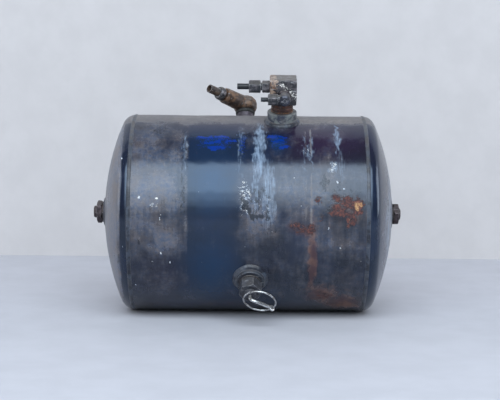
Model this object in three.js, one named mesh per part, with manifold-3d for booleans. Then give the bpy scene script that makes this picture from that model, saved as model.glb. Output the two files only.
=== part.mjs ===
// Compressed-air receiver tank of a truck brake system, as taken off the vehicle.
// Millimetres, +Z up. The tank lies on its side with its axis along X; -Y is the side with the drain valve.
// The origin is on the lowest flat of the shell, under the middle of the tank.
import * as THREE from "three";
import { mergeVertices } from "three/addons/utils/BufferGeometryUtils.js";
import Module from "manifold-3d";

const wasm = await Module();
wasm.setup();

// ---- Driving dimensions -------------------------------------------------------------------
const GAP = 0.3; // clearance that touching pieces keep

// Pressure vessel
const TANK_RADIUS = 138; // 276 mm outside diameter
const TANK_WALL = 3;
const SEAM_X = 159; // half the distance between the two girth welds
const HEAD_DEPTH = 43; // seam to crown
const CROWN_RADIUS = 318;
const KNUCKLE_RADIUS = 18;
const SHELL_FACETS = 48;
const HEAD_FACETS = 47; // odd, so that no two facets of a head face each other squarely
const HEAD_START = Math.PI / 2 + Math.PI / HEAD_FACETS; // puts one flat at the bottom
const AXIS_HEIGHT = TANK_RADIUS * Math.cos(Math.PI / SHELL_FACETS);
const GIRTH_WELD_WIDTH = 4.4;
const HEAD_SKIRT = 10; // flange of each head that slips into the shell
const WELD_BEVEL = 0.5; // slope of the edge that each head turns to its girth weld

// Port positions: place along the tank, and turn of the port axis about X from straight up
const MANIFOLD_PORT = { x: 45, turn: 17, bossRadius: 20.1, bossHeight: 14.5 };
const ELBOW_PORT = { x: -5.8, turn: -30, bossRadius: 17, bossHeight: 8 };
const DRAIN_PORT = { x: 3.2, turn: 124, bossRadius: 19.6, bossHeight: 8.4 };
const PORT_THREAD_RADIUS = 10.7; // M22 x 1.5
const PORT_BORE_RADIUS = PORT_THREAD_RADIUS + 0.5;
const BOSS_ROOT = 8; // how far each boss reaches inside the surface
const SEAL_THICKNESS = 1.5;

// End plugs
const END_BOSS_RADIUS = 18;
const END_BOSS_PROUD_LEFT = 2.5; // boss face beyond the crown of the head
const END_BOSS_PROUD_RIGHT = 0.8;
const PLUG_HEX = 28; // across flats
const PLUG_HEX_HEIGHT = 7.6;
const PLUG_TIP_RADIUS = 8.5;

// Manifold block on its swivel stud
const BLOCK = { width: 36.6, depth: 28, height: 36, shift: 1, chamfer: 1.2 };
const COLLAR_RADIUS = 15;
const COLLAR_HEIGHT = 11.7; // boss face to block
const JOURNAL_RADIUS = 8;

// Tube fittings: nylon tube sizes and the nuts that clamp them
const UPPER_TUBE = { outer: 4, inner: 3 };
const FRONT_TUBE = { outer: 3, inner: 2 };
const ELBOW_TUBE = { outer: 6, inner: 4.5 };
const UPPER_FITTING_HEIGHT = 23; // above the underside of the block
const FRONT_FITTING_HEIGHT = 14;
const FRONT_FITTING_X = 2.6;

// Rear swivel elbow
const ELBOW_BRANCH_TURN = 43.3; // branch direction, from -X towards the front
const ELBOW_BRANCH_REACH = 43.2;
const ELBOW_NECK_RADIUS = 12.3;
const ELBOW_HEAD_RADIUS = 17;

// Drain valve: distances along the port axis are measured from the tank surface
const DRAIN_HEX = 27;
const DRAIN_HEX_END = 28;
const DRAIN_NOSE_RADIUS = 8;
const DRAIN_NOSE_END = 34;
const DRAIN_SEAT = 25; // sealing face inside the body
const DRAIN_CHAMBER_RADIUS = 7.4;
const STEM_RADIUS = 2.2;
const RING_RADIUS = 21.5; // to the middle of the wire
const RING_WIRE_RADIUS = 1.2;
const RING_CENTRE = new THREE.Vector3(12.5, 0.4, 43);
const RING_ACROSS = new THREE.Vector3(0.985, -0.133, 0.112).normalize();
const RING_DOWN = new THREE.Vector3(-0.104, -0.967, -0.233);
RING_DOWN.addScaledVector(RING_ACROSS, -RING_DOWN.dot(RING_ACROSS)).normalize();
const RING_EYE_ANGLE = THREE.MathUtils.degToRad(33.9);

const ROUND = 20; // facets round a visible fitting
const COARSE = 12; // facets round an inner piece

// ---- Solids -------------------------------------------------------------------------------
// A closed geometry as a manifold solid: shared corners merged, collapsed triangles dropped.
function solid(geometry) {
  const bare = geometry.clone();
  bare.deleteAttribute("normal");
  bare.deleteAttribute("uv");
  const merged = mergeVertices(bare, 1e-4);
  const index = merged.index.array;
  const kept = [];
  for (let i = 0; i < index.length; i += 3) {
    const [a, b, c] = [index[i], index[i + 1], index[i + 2]];
    if (a !== b && b !== c && c !== a) kept.push(a, b, c);
  }
  const vertProperties = merged.attributes.position.array;
  const mesh = new wasm.Mesh({ numProp: 3, vertProperties, triVerts: new Uint32Array(kept) });
  return new wasm.Manifold(mesh);
}

function geometryOf(body) {
  const mesh = body.getMesh();
  const geometry = new THREE.BufferGeometry();
  geometry.setAttribute("position", new THREE.BufferAttribute(mesh.vertProperties, 3));
  geometry.setIndex(new THREE.BufferAttribute(mesh.triVerts, 1));
  const faceted = geometry.toNonIndexed();
  faceted.computeVertexNormals();
  return faceted;
}

const join = (first, ...rest) => rest.reduce((sum, next) => sum.add(next), first);
const cut = (first, ...tools) => tools.reduce((left, tool) => left.subtract(tool), first);

// A profile of [radius, z] points, anticlockwise, turned about Z. It closes on the axis or on itself.
function turned(profile, facets = ROUND, startAngle = 0) {
  const points = profile.map(([r, z]) => new THREE.Vector2(r, z));
  const onAxis = profile[0][0] === 0 && profile[profile.length - 1][0] === 0;
  if (!onAxis) points.push(points[0].clone());
  return solid(new THREE.LatheGeometry(points, facets, startAngle).rotateX(Math.PI / 2));
}

const disc = (radius, z0, z1, facets) =>
  turned([[0, z0], [radius, z0], [radius, z1], [0, z1]], facets);

const ringOf = (inner, outer, z0, z1, facets) =>
  turned([[inner, z0], [outer, z0], [outer, z1], [inner, z1]], facets);

// A hexagon across flats, standing on Z, with its outer corners taken off at 30 degrees.
function hexagon(acrossFlats, z0, z1, turn = 0) {
  const corner = acrossFlats / 2 / Math.cos(Math.PI / 6);
  const outline = new THREE.Shape();
  for (let k = 0; k < 6; k++) {
    const angle = THREE.MathUtils.degToRad(turn) + (k * Math.PI) / 3;
    const point = [corner * Math.cos(angle), corner * Math.sin(angle)];
    if (k === 0) outline.moveTo(...point);
    else outline.lineTo(...point);
  }
  const depth = z1 - z0;
  const prism = new THREE.ExtrudeGeometry(outline, { depth, bevelEnabled: false }).translate(0, 0, z0);
  const flat = acrossFlats / 2 - 0.2;
  const rim = corner + 0.05;
  const drop = (rim - flat) * Math.tan(Math.PI / 6);
  const envelope = turned([[0, z0], [flat, z0], [rim, z0 + drop], [rim, z1 - drop], [flat, z1], [0, z1]]);
  return solid(prism).intersect(envelope);
}

// A wire of round section along a curve.
function wire(curve, radius, steps, sides) {
  const section = new THREE.Shape();
  for (let k = 0; k < sides; k++) {
    const angle = (2 * Math.PI * k) / sides;
    const point = [radius * Math.cos(angle), radius * Math.sin(angle)];
    if (k === 0) section.moveTo(...point);
    else section.lineTo(...point);
  }
  const options = { steps, extrudePath: curve, bevelEnabled: false };
  return solid(new THREE.ExtrudeGeometry(section, options));
}

function turnMatrix(axis, degrees, x = 0, y = 0, z = 0) {
  const radians = THREE.MathUtils.degToRad(degrees);
  const matrix = new THREE.Matrix4().makeRotationAxis(axis, radians);
  return matrix.setPosition(x, y, z);
}

const X_AXIS = new THREE.Vector3(1, 0, 0);
const Y_AXIS = new THREE.Vector3(0, 1, 0);
const Z_AXIS = new THREE.Vector3(0, 0, 1);

// The same solid in another frame.
const moved = (body, matrix) => solid(geometryOf(body).applyMatrix4(matrix));

// ---- Finishes -----------------------------------------------------------------------------
const finish = (color, roughness, metalness) => () =>
  new THREE.MeshStandardMaterial({ color, roughness, metalness, flatShading: true });

const BLACK_PAINT = finish(0x2b2d38, 0.4, 0.1);
const WELD_PAINT = finish(0x3d3e47, 0.6, 0.1);
const DUSTY_PAINT = finish(0x77777c, 0.75, 0.1);
const DARK_STEEL = finish(0x4a4038, 0.65, 0.6);
const RUSTY_STEEL = finish(0x5e3d28, 0.85, 0.3);
const GREY_ZINC = finish(0x74747a, 0.5, 0.7);
const BRONZE = finish(0x6a5340, 0.6, 0.6);
const BRIGHT_STEEL = finish(0xc9cbcd, 0.3, 0.9);
const COPPER = finish(0x6f4a34, 0.6, 0.7);
const BRASS = finish(0x9c7d45, 0.45, 0.8);
const BLACK_RUBBER = finish(0x161616, 0.85, 0);
const BLACK_NYLON = finish(0x15181c, 0.5, 0);

const tank = new THREE.Group();

function piece(group, name, body, material) {
  const mesh = new THREE.Mesh(geometryOf(body), material());
  mesh.name = name;
  group.add(mesh);
  return mesh;
}

function frameGroup(parent, matrix) {
  const group = new THREE.Group();
  group.applyMatrix4(matrix);
  parent.add(group);
  return group;
}

// ---- Pressure vessel ----------------------------------------------------------------------
// The vessel is turned about its own axis, then that axis is laid along X with a flat at the bottom.
const HALF_FACET = Math.PI / SHELL_FACETS;
const vessel = frameGroup(tank, new THREE.Matrix4().makeTranslation(0, 0, AXIS_HEIGHT));
const AXIS_TO_X = turnMatrix(Y_AXIS, 90);

const portMatrix = (port) => turnMatrix(X_AXIS, port.turn, port.x);

function shell() {
  const end = SEAM_X - GIRTH_WELD_WIDTH / 2 - GAP;
  const inner = TANK_RADIUS - TANK_WALL;
  const profile = [[inner, -end], [TANK_RADIUS, -end], [TANK_RADIUS, end], [inner, end]];
  const tube = moved(turned(profile, SHELL_FACETS, HALF_FACET), AXIS_TO_X);
  const holes = [MANIFOLD_PORT, ELBOW_PORT, DRAIN_PORT].map((port) => {
    const hole = disc(port.bossRadius + GAP, TANK_RADIUS - 2 * BOSS_ROOT, TANK_RADIUS + BOSS_ROOT);
    return moved(hole, portMatrix(port));
  });
  return cut(tube, ...holes);
}

// Dished head: a crown arc and a knuckle arc, tangent where they meet, then the skirt.
function headOutline(offset, crownSteps, knuckleSteps) {
  const crown = CROWN_RADIUS - offset;
  const knuckle = KNUCKLE_RADIUS - offset;
  const crownCentre = SEAM_X + HEAD_DEPTH - CROWN_RADIUS;
  const knuckleR = TANK_RADIUS - KNUCKLE_RADIUS;
  const meet = Math.asin(knuckleR / (CROWN_RADIUS - KNUCKLE_RADIUS));
  const knuckleZ = crownCentre + (CROWN_RADIUS - KNUCKLE_RADIUS) * Math.cos(meet);
  const points = [];
  for (let k = 0; k <= knuckleSteps; k++) {
    const angle = THREE.MathUtils.lerp(Math.PI / 2, meet, k / knuckleSteps);
    points.push([knuckleR + knuckle * Math.sin(angle), knuckleZ + knuckle * Math.cos(angle)]);
  }
  const holeAngle = Math.asin((END_BOSS_RADIUS + GAP) / crown);
  for (let k = 1; k <= crownSteps; k++) {
    const angle = THREE.MathUtils.lerp(meet, holeAngle, k / crownSteps);
    points.push([crown * Math.sin(angle), crownCentre + crown * Math.cos(angle)]);
  }
  return points;
}

function head() {
  const start = SEAM_X + GIRTH_WELD_WIDTH / 2 + GAP;
  const skirtRadius = TANK_RADIUS - TANK_WALL - GAP - 0.5;
  const skirtEnd = SEAM_X - HEAD_SKIRT;
  const outer = headOutline(0, 3, 2);
  const inner = headOutline(TANK_WALL, 2, 1).reverse();
  const skirt = [[skirtRadius - 2.4, skirtEnd], [skirtRadius, skirtEnd], [skirtRadius, start]];
  const edge = [TANK_RADIUS, start + WELD_BEVEL];
  return turned([...skirt, edge, ...outer, ...inner], HEAD_FACETS, HEAD_START);
}

// Weld in the groove between shell and head, flush with the surface.
function girthWeld() {
  const half = GIRTH_WELD_WIDTH / 2;
  const low = TANK_RADIUS - TANK_WALL + 0.6;
  const sides = [[low, SEAM_X - half], [TANK_RADIUS, SEAM_X - half]];
  return turned([...sides, [TANK_RADIUS, SEAM_X + half], [low, SEAM_X + half]], SHELL_FACETS, HALF_FACET);
}

// Lengthwise weld of the rolled shell, on the back, as a low bead on the surface.
function seamWeld() {
  const length = 2 * SEAM_X - 14;
  const bead = new THREE.Shape();
  bead.moveTo(-3.2, 0);
  bead.absarc(0, -4.1, 5.2, Math.PI - 0.908, 0.908, true);
  const bar = new THREE.ExtrudeGeometry(bead, { depth: length, bevelEnabled: false, curveSegments: 6 });
  bar.translate(0, 0, -length / 2).rotateY(Math.PI / 2).rotateX(Math.PI / 2);
  bar.translate(0, 0, TANK_RADIUS + GAP);
  return solid(bar);
}

piece(vessel, "tank_shell", shell(), BLACK_PAINT);
piece(frameGroup(vessel, turnMatrix(X_AXIS, -104)), "seam_weld", seamWeld(), WELD_PAINT);

// ---- Head ends: boss, weld, sealing washer and blanking plug ------------------------------
const CROWN_X = SEAM_X + HEAD_DEPTH;

function endWeld() {
  const inner = END_BOSS_RADIUS + GAP;
  const outer = inner + 4;
  const surface = (r) => CROWN_X - CROWN_RADIUS + Math.sqrt(CROWN_RADIUS ** 2 - r ** 2) + GAP;
  return turned([[inner, surface(inner)], [outer, surface(outer)], [outer - 1, surface(outer) + 0.9],
    [inner, surface(inner) + 2.2]]);
}

function plug(face, tipHeight, domed, turn) {
  const hexStart = face + SEAL_THICKNESS + 2 * GAP;
  const hexEnd = hexStart + PLUG_HEX_HEIGHT;
  const shank = disc(PORT_THREAD_RADIUS, face - 15, hexStart + 1, ROUND);
  const hex = hexagon(PLUG_HEX, hexStart, hexEnd, turn);
  const tipRadius = domed ? PLUG_TIP_RADIUS - 3 : PLUG_TIP_RADIUS - 0.8;
  const tipProfile = [
    [0, hexEnd - 1], [PLUG_TIP_RADIUS, hexEnd - 1], [PLUG_TIP_RADIUS, hexEnd + tipHeight * 0.6],
    [tipRadius, hexEnd + tipHeight], [0, hexEnd + tipHeight],
  ];
  return join(shank, hex, turned(tipProfile));
}

function headEnd(side, turn, proud, tipHeight, domed, hexTurn) {
  const group = frameGroup(vessel, turnMatrix(Z_AXIS, turn).multiply(AXIS_TO_X));
  const face = CROWN_X + proud;
  piece(group, `${side}_head`, head(), BLACK_PAINT);
  piece(group, `${side}_girth_weld`, girthWeld(), WELD_PAINT);
  piece(group, `${side}_end_boss`, ringOf(PORT_BORE_RADIUS, END_BOSS_RADIUS, face - 18, face), DARK_STEEL);
  piece(group, `${side}_boss_weld`, endWeld(), WELD_PAINT);
  const seal = ringOf(PORT_BORE_RADIUS + 0.3, 14.4, face + GAP, face + GAP + SEAL_THICKNESS);
  piece(group, `${side}_plug_seal`, seal, COPPER);
  piece(group, `${side}_plug`, plug(face, tipHeight, domed, hexTurn), DARK_STEEL);
}

headEnd("left", 180, END_BOSS_PROUD_LEFT, 4.6, false, 8);
headEnd("right", 0, END_BOSS_PROUD_RIGHT, 3, true, 21);

// ---- Port bosses on the shell -------------------------------------------------------------
function portBoss(port) {
  const top = TANK_RADIUS + port.bossHeight;
  const r = port.bossRadius;
  const profile = [[PORT_BORE_RADIUS, TANK_RADIUS - BOSS_ROOT], [r, TANK_RADIUS - BOSS_ROOT], [r, top - 1],
    [r - 1, top], [PORT_BORE_RADIUS + 0.8, top], [PORT_BORE_RADIUS, top - 0.8]];
  return turned(profile, ROUND);
}

// Fillet weld that follows the saddle where a boss meets the shell.
function saddleWeld(port) {
  const inner = port.bossRadius + GAP;
  const rise = 4.6;
  const profile = [[inner, TANK_RADIUS - 6], [inner + 4.4, TANK_RADIUS - 6], [inner + 4.4, TANK_RADIUS - 1],
    [inner + 1, TANK_RADIUS + rise], [inner, TANK_RADIUS + rise]];
  const drum = moved(disc(TANK_RADIUS + 2 * GAP, -60, 60, SHELL_FACETS), AXIS_TO_X);
  return cut(turned(profile, ROUND), drum);
}

function portGroup(port, prefix) {
  const group = frameGroup(vessel, portMatrix(port));
  piece(group, `${prefix}_boss`, portBoss(port), DUSTY_PAINT);
  piece(group, `${prefix}_boss_weld`, saddleWeld(port), WELD_PAINT);
  const face = TANK_RADIUS + port.bossHeight;
  const seal = ringOf(PORT_BORE_RADIUS + 0.3, 15.2, face + GAP, face + GAP + SEAL_THICKNESS);
  piece(group, `${prefix}_seal`, seal, COPPER);
  return group;
}

// ---- Manifold block on its swivel stud ----------------------------------------------------
const MANIFOLD_FACE = TANK_RADIUS + MANIFOLD_PORT.bossHeight;
const FLANGE_BOTTOM = MANIFOLD_FACE + SEAL_THICKNESS + 2 * GAP;
const BLOCK_BOTTOM = MANIFOLD_FACE + COLLAR_HEIGHT + GAP;
const FLANGE_TOP = FLANGE_BOTTOM + 5.4;
const JOURNAL_TOP = BLOCK_BOTTOM + 7.8;
const RETAINING_Z = BLOCK_BOTTOM + 1.6;
const O_RING_Z = BLOCK_BOTTOM + 5;

function manifoldStud() {
  const r = JOURNAL_RADIUS;
  return turned([
    [4, TANK_RADIUS - 4], [PORT_THREAD_RADIUS, TANK_RADIUS - 4], [PORT_THREAD_RADIUS, FLANGE_BOTTOM],
    [COLLAR_RADIUS - 0.6, FLANGE_BOTTOM], [COLLAR_RADIUS, FLANGE_BOTTOM + 0.6], [COLLAR_RADIUS, FLANGE_TOP],
    [r, FLANGE_TOP], [r, RETAINING_Z], [r - 0.9, RETAINING_Z], [r - 0.9, RETAINING_Z + 1.6],
    [r, RETAINING_Z + 1.6], [r, O_RING_Z], [r - 1.5, O_RING_Z], [r - 1.5, O_RING_Z + 2.2],
    [r, O_RING_Z + 2.2], [r, JOURNAL_TOP], [4, JOURNAL_TOP],
  ]);
}

function manifoldBlock() {
  const { width, depth, height, shift, chamfer } = BLOCK;
  const outline = new THREE.Shape();
  const w = width / 2 - chamfer;
  const d = depth / 2 - chamfer;
  outline.moveTo(-w, -d).lineTo(w, -d).lineTo(w, d).lineTo(-w, d);
  const bevel = { bevelEnabled: true, bevelSize: chamfer, bevelThickness: chamfer, bevelSegments: 1 };
  const body = new THREE.ExtrudeGeometry(outline, { depth: height - 2 * chamfer, ...bevel });
  body.translate(shift, 0, BLOCK_BOTTOM + chamfer);
  const bore = JOURNAL_RADIUS + GAP;
  const chamber = turned([
    [0, BLOCK_BOTTOM - 1], [bore, BLOCK_BOTTOM - 1], [bore, RETAINING_Z], [bore + 0.9, RETAINING_Z],
    [bore + 0.9, RETAINING_Z + 1.6], [bore, RETAINING_Z + 1.6], [bore, BLOCK_BOTTOM + height - 7],
    [0, BLOCK_BOTTOM + height - 5],
  ], ROUND);
  const sidePort = moved(disc(5.3, -1, width / 2 + 2), SIDE_PORT_MATRIX);
  const frontPort = moved(disc(5.3, -1, depth / 2 + 2), FRONT_PORT_MATRIX);
  return cut(solid(body), chamber, sidePort, frontPort);
}

// Fittings stand on the faces of the block: local +Z runs out of the face.
const SIDE_FACE_X = BLOCK.shift - BLOCK.width / 2;
const SIDE_MATRIX = turnMatrix(Y_AXIS, -90, SIDE_FACE_X, 0, BLOCK_BOTTOM + UPPER_FITTING_HEIGHT);
const SIDE_PORT_MATRIX = turnMatrix(Y_AXIS, -90, 0, 0, BLOCK_BOTTOM + UPPER_FITTING_HEIGHT);
const FRONT_MATRIX = turnMatrix(X_AXIS, 90, FRONT_FITTING_X, -BLOCK.depth / 2, BLOCK_BOTTOM + FRONT_FITTING_HEIGHT);
const FRONT_PORT_MATRIX = turnMatrix(X_AXIS, 90, FRONT_FITTING_X, 0, BLOCK_BOTTOM + FRONT_FITTING_HEIGHT);

const manifold = portGroup(MANIFOLD_PORT, "manifold");
piece(manifold, "manifold_stud", manifoldStud(), RUSTY_STEEL);
const thrust = ringOf(JOURNAL_RADIUS + GAP, COLLAR_RADIUS - 1.2, FLANGE_TOP + GAP, BLOCK_BOTTOM - GAP);
piece(manifold, "manifold_thrust_ring", thrust, RUSTY_STEEL);
const snap = ringOf(JOURNAL_RADIUS - 0.6, JOURNAL_RADIUS + 0.8, RETAINING_Z + GAP, RETAINING_Z + 1.3, COARSE);
piece(manifold, "manifold_retaining_ring", snap, BRIGHT_STEEL);
const journalRing = ringOf(JOURNAL_RADIUS - 1.2, JOURNAL_RADIUS - 0.02, O_RING_Z + GAP, O_RING_Z + 1.9, COARSE);
piece(manifold, "manifold_o_ring", journalRing, BLACK_RUBBER);
piece(manifold, "manifold_block", manifoldBlock(), GREY_ZINC);

// ---- Straight coupling on the side of the block, with its cut-off tube ---------------------
const UPPER = { hex: 15, hexEnd: 12.2, neckEnd: 25, nutEnd: 28.6, tubeStart: 17, tubeEnd: 44.5 };

function upperCoupling() {
  const thread = disc(4.9, -7, GAP + 1, COARSE);
  const hex = hexagon(UPPER.hex, GAP, UPPER.hexEnd, 12);
  const neck = disc(5.8, UPPER.hexEnd - 1, UPPER.neckEnd, ROUND);
  const socket = UPPER_TUBE.outer + GAP;
  const bore = turned([[0, -8], [2.4, -8], [2.4, UPPER.tubeStart - GAP], [socket, UPPER.tubeStart - GAP],
    [socket, UPPER.neckEnd - 2], [socket + 0.9, UPPER.neckEnd + 1], [0, UPPER.neckEnd + 1]], COARSE);
  return cut(join(thread, hex, neck), bore);
}

function unionNut(hex, start, end, threadRadius, threadEnd, tubeRadius, turn) {
  const outside = hexagon(hex, start, end, turn);
  const inside = turned([[0, start - 1], [threadRadius, start - 1], [threadRadius, threadEnd],
    [tubeRadius, threadEnd + 1], [tubeRadius, end + 1], [0, end + 1]], COARSE);
  return cut(outside, inside);
}

const upper = frameGroup(manifold, SIDE_MATRIX);
piece(upper, "upper_coupling_body", upperCoupling(), GREY_ZINC);
const upperNut = unionNut(16, UPPER.hexEnd + GAP, UPPER.nutEnd, 6.1, UPPER.neckEnd + 0.9, UPPER_TUBE.outer + GAP, 0);
piece(upper, "upper_union_nut", upperNut, GREY_ZINC);
const upperTube = ringOf(UPPER_TUBE.inner, UPPER_TUBE.outer, UPPER.tubeStart, UPPER.tubeEnd, COARSE);
piece(upper, "upper_tube_stub", upperTube, BLACK_NYLON);
const upperOlive = ringOf(UPPER_TUBE.outer + GAP, 5.7, UPPER.neckEnd + 0.15, UPPER.neckEnd + 0.75, COARSE);
piece(upper, "upper_ferrule", upperOlive, BRASS);

// ---- Swivel elbow on the front of the block, with its cut-off tube -------------------------
const FRONT = { hexEnd: 5.5, hubEnd: 23, hubRadius: 8, branchZ: 15.5, neckStart: 9, nutEnd: 22.5, tubeEnd: 32.2 };
const BRANCH_TO_X = turnMatrix(Y_AXIS, -90, 0, 0, FRONT.branchZ);

function frontStud() {
  const thread = disc(4.9, -6, GAP + 1, COARSE);
  const hex = hexagon(17, GAP, FRONT.hexEnd, 5);
  const journal = turned([[0, 4], [4.5, 4], [4.5, 8], [3.4, 8], [3.4, 10], [4.5, 10], [4.5, 12.6], [0, 12.6]], COARSE);
  return cut(join(thread, hex, journal), disc(2, -7, 13.6, COARSE));
}

function frontElbow() {
  const hub = turned([[0, FRONT.hexEnd + GAP], [FRONT.hubRadius, FRONT.hexEnd + GAP], [FRONT.hubRadius, FRONT.hubEnd - 3],
    [FRONT.hubRadius - 1, FRONT.hubEnd - 1.2], [FRONT.hubRadius - 3, FRONT.hubEnd], [0, FRONT.hubEnd]], ROUND);
  const branch = moved(disc(6.2, 0, FRONT.neckStart, ROUND), BRANCH_TO_X);
  const neck = moved(disc(4.9, 0, 17, COARSE), BRANCH_TO_X);
  const socket = FRONT_TUBE.outer + GAP;
  const bore = moved(turned([[0, -1], [1.6, -1], [1.6, 12], [socket, 12], [socket, 18], [0, 18]], COARSE), BRANCH_TO_X);
  return cut(join(hub, branch, neck), disc(4.5 + GAP, 4, 13, COARSE), disc(1.6, 12, FRONT.branchZ, COARSE), bore);
}

const front = frameGroup(manifold, FRONT_MATRIX);
piece(front, "front_elbow_stud", frontStud(), DARK_STEEL);
piece(front, "front_elbow_o_ring", ringOf(3.6, 4.46, 8.3, 9.7, COARSE), BLACK_RUBBER);
piece(front, "front_elbow_body", frontElbow(), GREY_ZINC);
const frontBranch = frameGroup(front, BRANCH_TO_X);
const frontNut = unionNut(14, FRONT.neckStart + GAP, FRONT.nutEnd, 5.2, 18.6, FRONT_TUBE.outer + GAP, 30);
piece(frontBranch, "front_elbow_nut", frontNut, GREY_ZINC);
piece(frontBranch, "front_ferrule", ringOf(FRONT_TUBE.outer + GAP, 4.8, 17.4, 18.4, COARSE), BRASS);
const frontTube = ringOf(FRONT_TUBE.inner, FRONT_TUBE.outer, 12.4, FRONT.tubeEnd, COARSE);
piece(frontBranch, "front_tube_stub", frontTube, BLACK_NYLON);

// ---- Rear swivel elbow --------------------------------------------------------------------
const ELBOW_FACE = TANK_RADIUS + ELBOW_PORT.bossHeight;
const NECK_BOTTOM = ELBOW_FACE + SEAL_THICKNESS + 2 * GAP;
const NECK_TOP = NECK_BOTTOM + 12;
const HEAD_BOTTOM = NECK_TOP + 3;
const HEAD_TOP = HEAD_BOTTOM + 21;
const BRANCH_Z = HEAD_BOTTOM + 10.5;
const REAR = { neckEnd: 52, collarStart: 46, collarEnd: 54.3, tubeStart: 34, tubeEnd: 71.5 };

function elbowStud() {
  const journalTop = HEAD_BOTTOM + 11;
  const groove = HEAD_BOTTOM + 3;
  return turned([
    [4.5, TANK_RADIUS - 4], [PORT_THREAD_RADIUS, TANK_RADIUS - 4], [PORT_THREAD_RADIUS, NECK_BOTTOM],
    [ELBOW_NECK_RADIUS, NECK_BOTTOM], [ELBOW_NECK_RADIUS, NECK_TOP], [JOURNAL_RADIUS, NECK_TOP],
    [JOURNAL_RADIUS, groove], [JOURNAL_RADIUS - 0.9, groove], [JOURNAL_RADIUS - 0.9, groove + 1.6],
    [JOURNAL_RADIUS, groove + 1.6], [JOURNAL_RADIUS, journalTop], [4.5, journalTop],
  ]);
}

const BRANCH_MATRIX = turnMatrix(Z_AXIS, ELBOW_BRANCH_TURN, 0, 0, BRANCH_Z).multiply(turnMatrix(Y_AXIS, -90));

function elbowBody() {
  const r = ELBOW_HEAD_RADIUS;
  const knuckle = turned([[0, HEAD_BOTTOM], [r - 3.8, HEAD_BOTTOM], [r - 1, HEAD_BOTTOM + 3], [r, HEAD_BOTTOM + 7.5],
    [r, HEAD_BOTTOM + 12], [r - 1.6, HEAD_BOTTOM + 17], [r - 5.5, HEAD_TOP], [0, HEAD_TOP + 0.6]], ROUND);
  const branchEnd = ELBOW_BRANCH_REACH;
  const branch = turned([[0, 0], [12.6, 0], [11.3, branchEnd - 1], [10.3, branchEnd], [7.8, branchEnd],
    [7.8, REAR.neckEnd], [0, REAR.neckEnd]], ROUND);
  const bore = JOURNAL_RADIUS + GAP;
  const groove = HEAD_BOTTOM + 3;
  const socket = turned([[0, HEAD_BOTTOM - 1], [bore, HEAD_BOTTOM - 1], [bore, groove], [bore + 0.9, groove],
    [bore + 0.9, groove + 1.6], [bore, groove + 1.6], [bore, HEAD_BOTTOM + 12], [0, HEAD_BOTTOM + 14]], ROUND);
  const passage = turned([[0, 6], [4, 6], [4, REAR.tubeStart - GAP], [ELBOW_TUBE.outer + GAP, REAR.tubeStart - GAP],
    [ELBOW_TUBE.outer + GAP, REAR.neckEnd + 1], [0, REAR.neckEnd + 1]], COARSE);
  const clearance = disc(r + 1, HEAD_BOTTOM - 8, HEAD_BOTTOM);
  return cut(join(knuckle, moved(branch, BRANCH_MATRIX)), clearance, socket, moved(passage, BRANCH_MATRIX));
}

function elbowCollar() {
  const { collarStart: low, collarEnd: high } = REAR;
  const bore = 7.8 + GAP;
  const mouth = ELBOW_TUBE.outer + GAP;
  return turned([[bore, low], [9.2, low], [9.8, low + 1], [9.8, high - 2.4], [8.2, high], [mouth, high],
    [mouth, high - 1.4], [bore, high - 1.6]], ROUND);
}

const elbow = portGroup(ELBOW_PORT, "elbow");
piece(elbow, "elbow_stud", elbowStud(), GREY_ZINC);
const dustRing = turned([[JOURNAL_RADIUS + 0.5, NECK_TOP + GAP], [12.4, NECK_TOP + GAP], [13.2, NECK_TOP + 1.5],
  [12.4, HEAD_BOTTOM - GAP], [JOURNAL_RADIUS + 0.5, HEAD_BOTTOM - GAP]]);
piece(elbow, "elbow_dust_ring", dustRing, BLACK_RUBBER);
const elbowSnap = ringOf(JOURNAL_RADIUS - 0.6, JOURNAL_RADIUS + 0.8, HEAD_BOTTOM + 3.3, HEAD_BOTTOM + 4.3, COARSE);
piece(elbow, "elbow_retaining_ring", elbowSnap, BRIGHT_STEEL);
piece(elbow, "elbow_body", elbowBody(), BRONZE);
const rear = frameGroup(elbow, BRANCH_MATRIX);
piece(rear, "elbow_collar", elbowCollar(), GREY_ZINC);
const rearTube = ringOf(ELBOW_TUBE.inner, ELBOW_TUBE.outer, REAR.tubeStart, REAR.tubeEnd, COARSE);
piece(rear, "elbow_tube_stub", rearTube, BLACK_NYLON);

// ---- Drain valve --------------------------------------------------------------------------
const along = (distance) => TANK_RADIUS + distance;

function drainBody() {
  const face = DRAIN_PORT.bossHeight + SEAL_THICKNESS + 2 * GAP;
  const shank = disc(PORT_THREAD_RADIUS, along(-12), along(face + 1), ROUND);
  const hex = hexagon(DRAIN_HEX, along(face), along(DRAIN_HEX_END), 15);
  const nose = turned([[0, along(DRAIN_HEX_END - 1)], [DRAIN_NOSE_RADIUS, along(DRAIN_HEX_END - 1)],
    [DRAIN_NOSE_RADIUS, along(DRAIN_NOSE_END - 1)], [DRAIN_NOSE_RADIUS - 1, along(DRAIN_NOSE_END)],
    [0, along(DRAIN_NOSE_END)]], ROUND);
  const inside = turned([[0, along(-13)], [DRAIN_CHAMBER_RADIUS, along(-13)], [DRAIN_CHAMBER_RADIUS, along(DRAIN_SEAT)],
    [4.2, along(DRAIN_SEAT)], [6.4, along(DRAIN_NOSE_END + 0.1)], [0, along(DRAIN_NOSE_END + 0.1)]], ROUND);
  return cut(join(shank, hex, nose), inside);
}

// Rubber disc that the spring holds against the seat; the stem stands through it.
const DISC_TOP = DRAIN_SEAT - GAP;
const DISC_BOTTOM = DISC_TOP - 2.4;

const ringPoint = (angle) =>
  RING_CENTRE.clone()
    .addScaledVector(RING_ACROSS, RING_RADIUS * Math.cos(angle))
    .addScaledVector(RING_DOWN, RING_RADIUS * Math.sin(angle))
    .add(new THREE.Vector3(0, 0, TANK_RADIUS));

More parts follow.
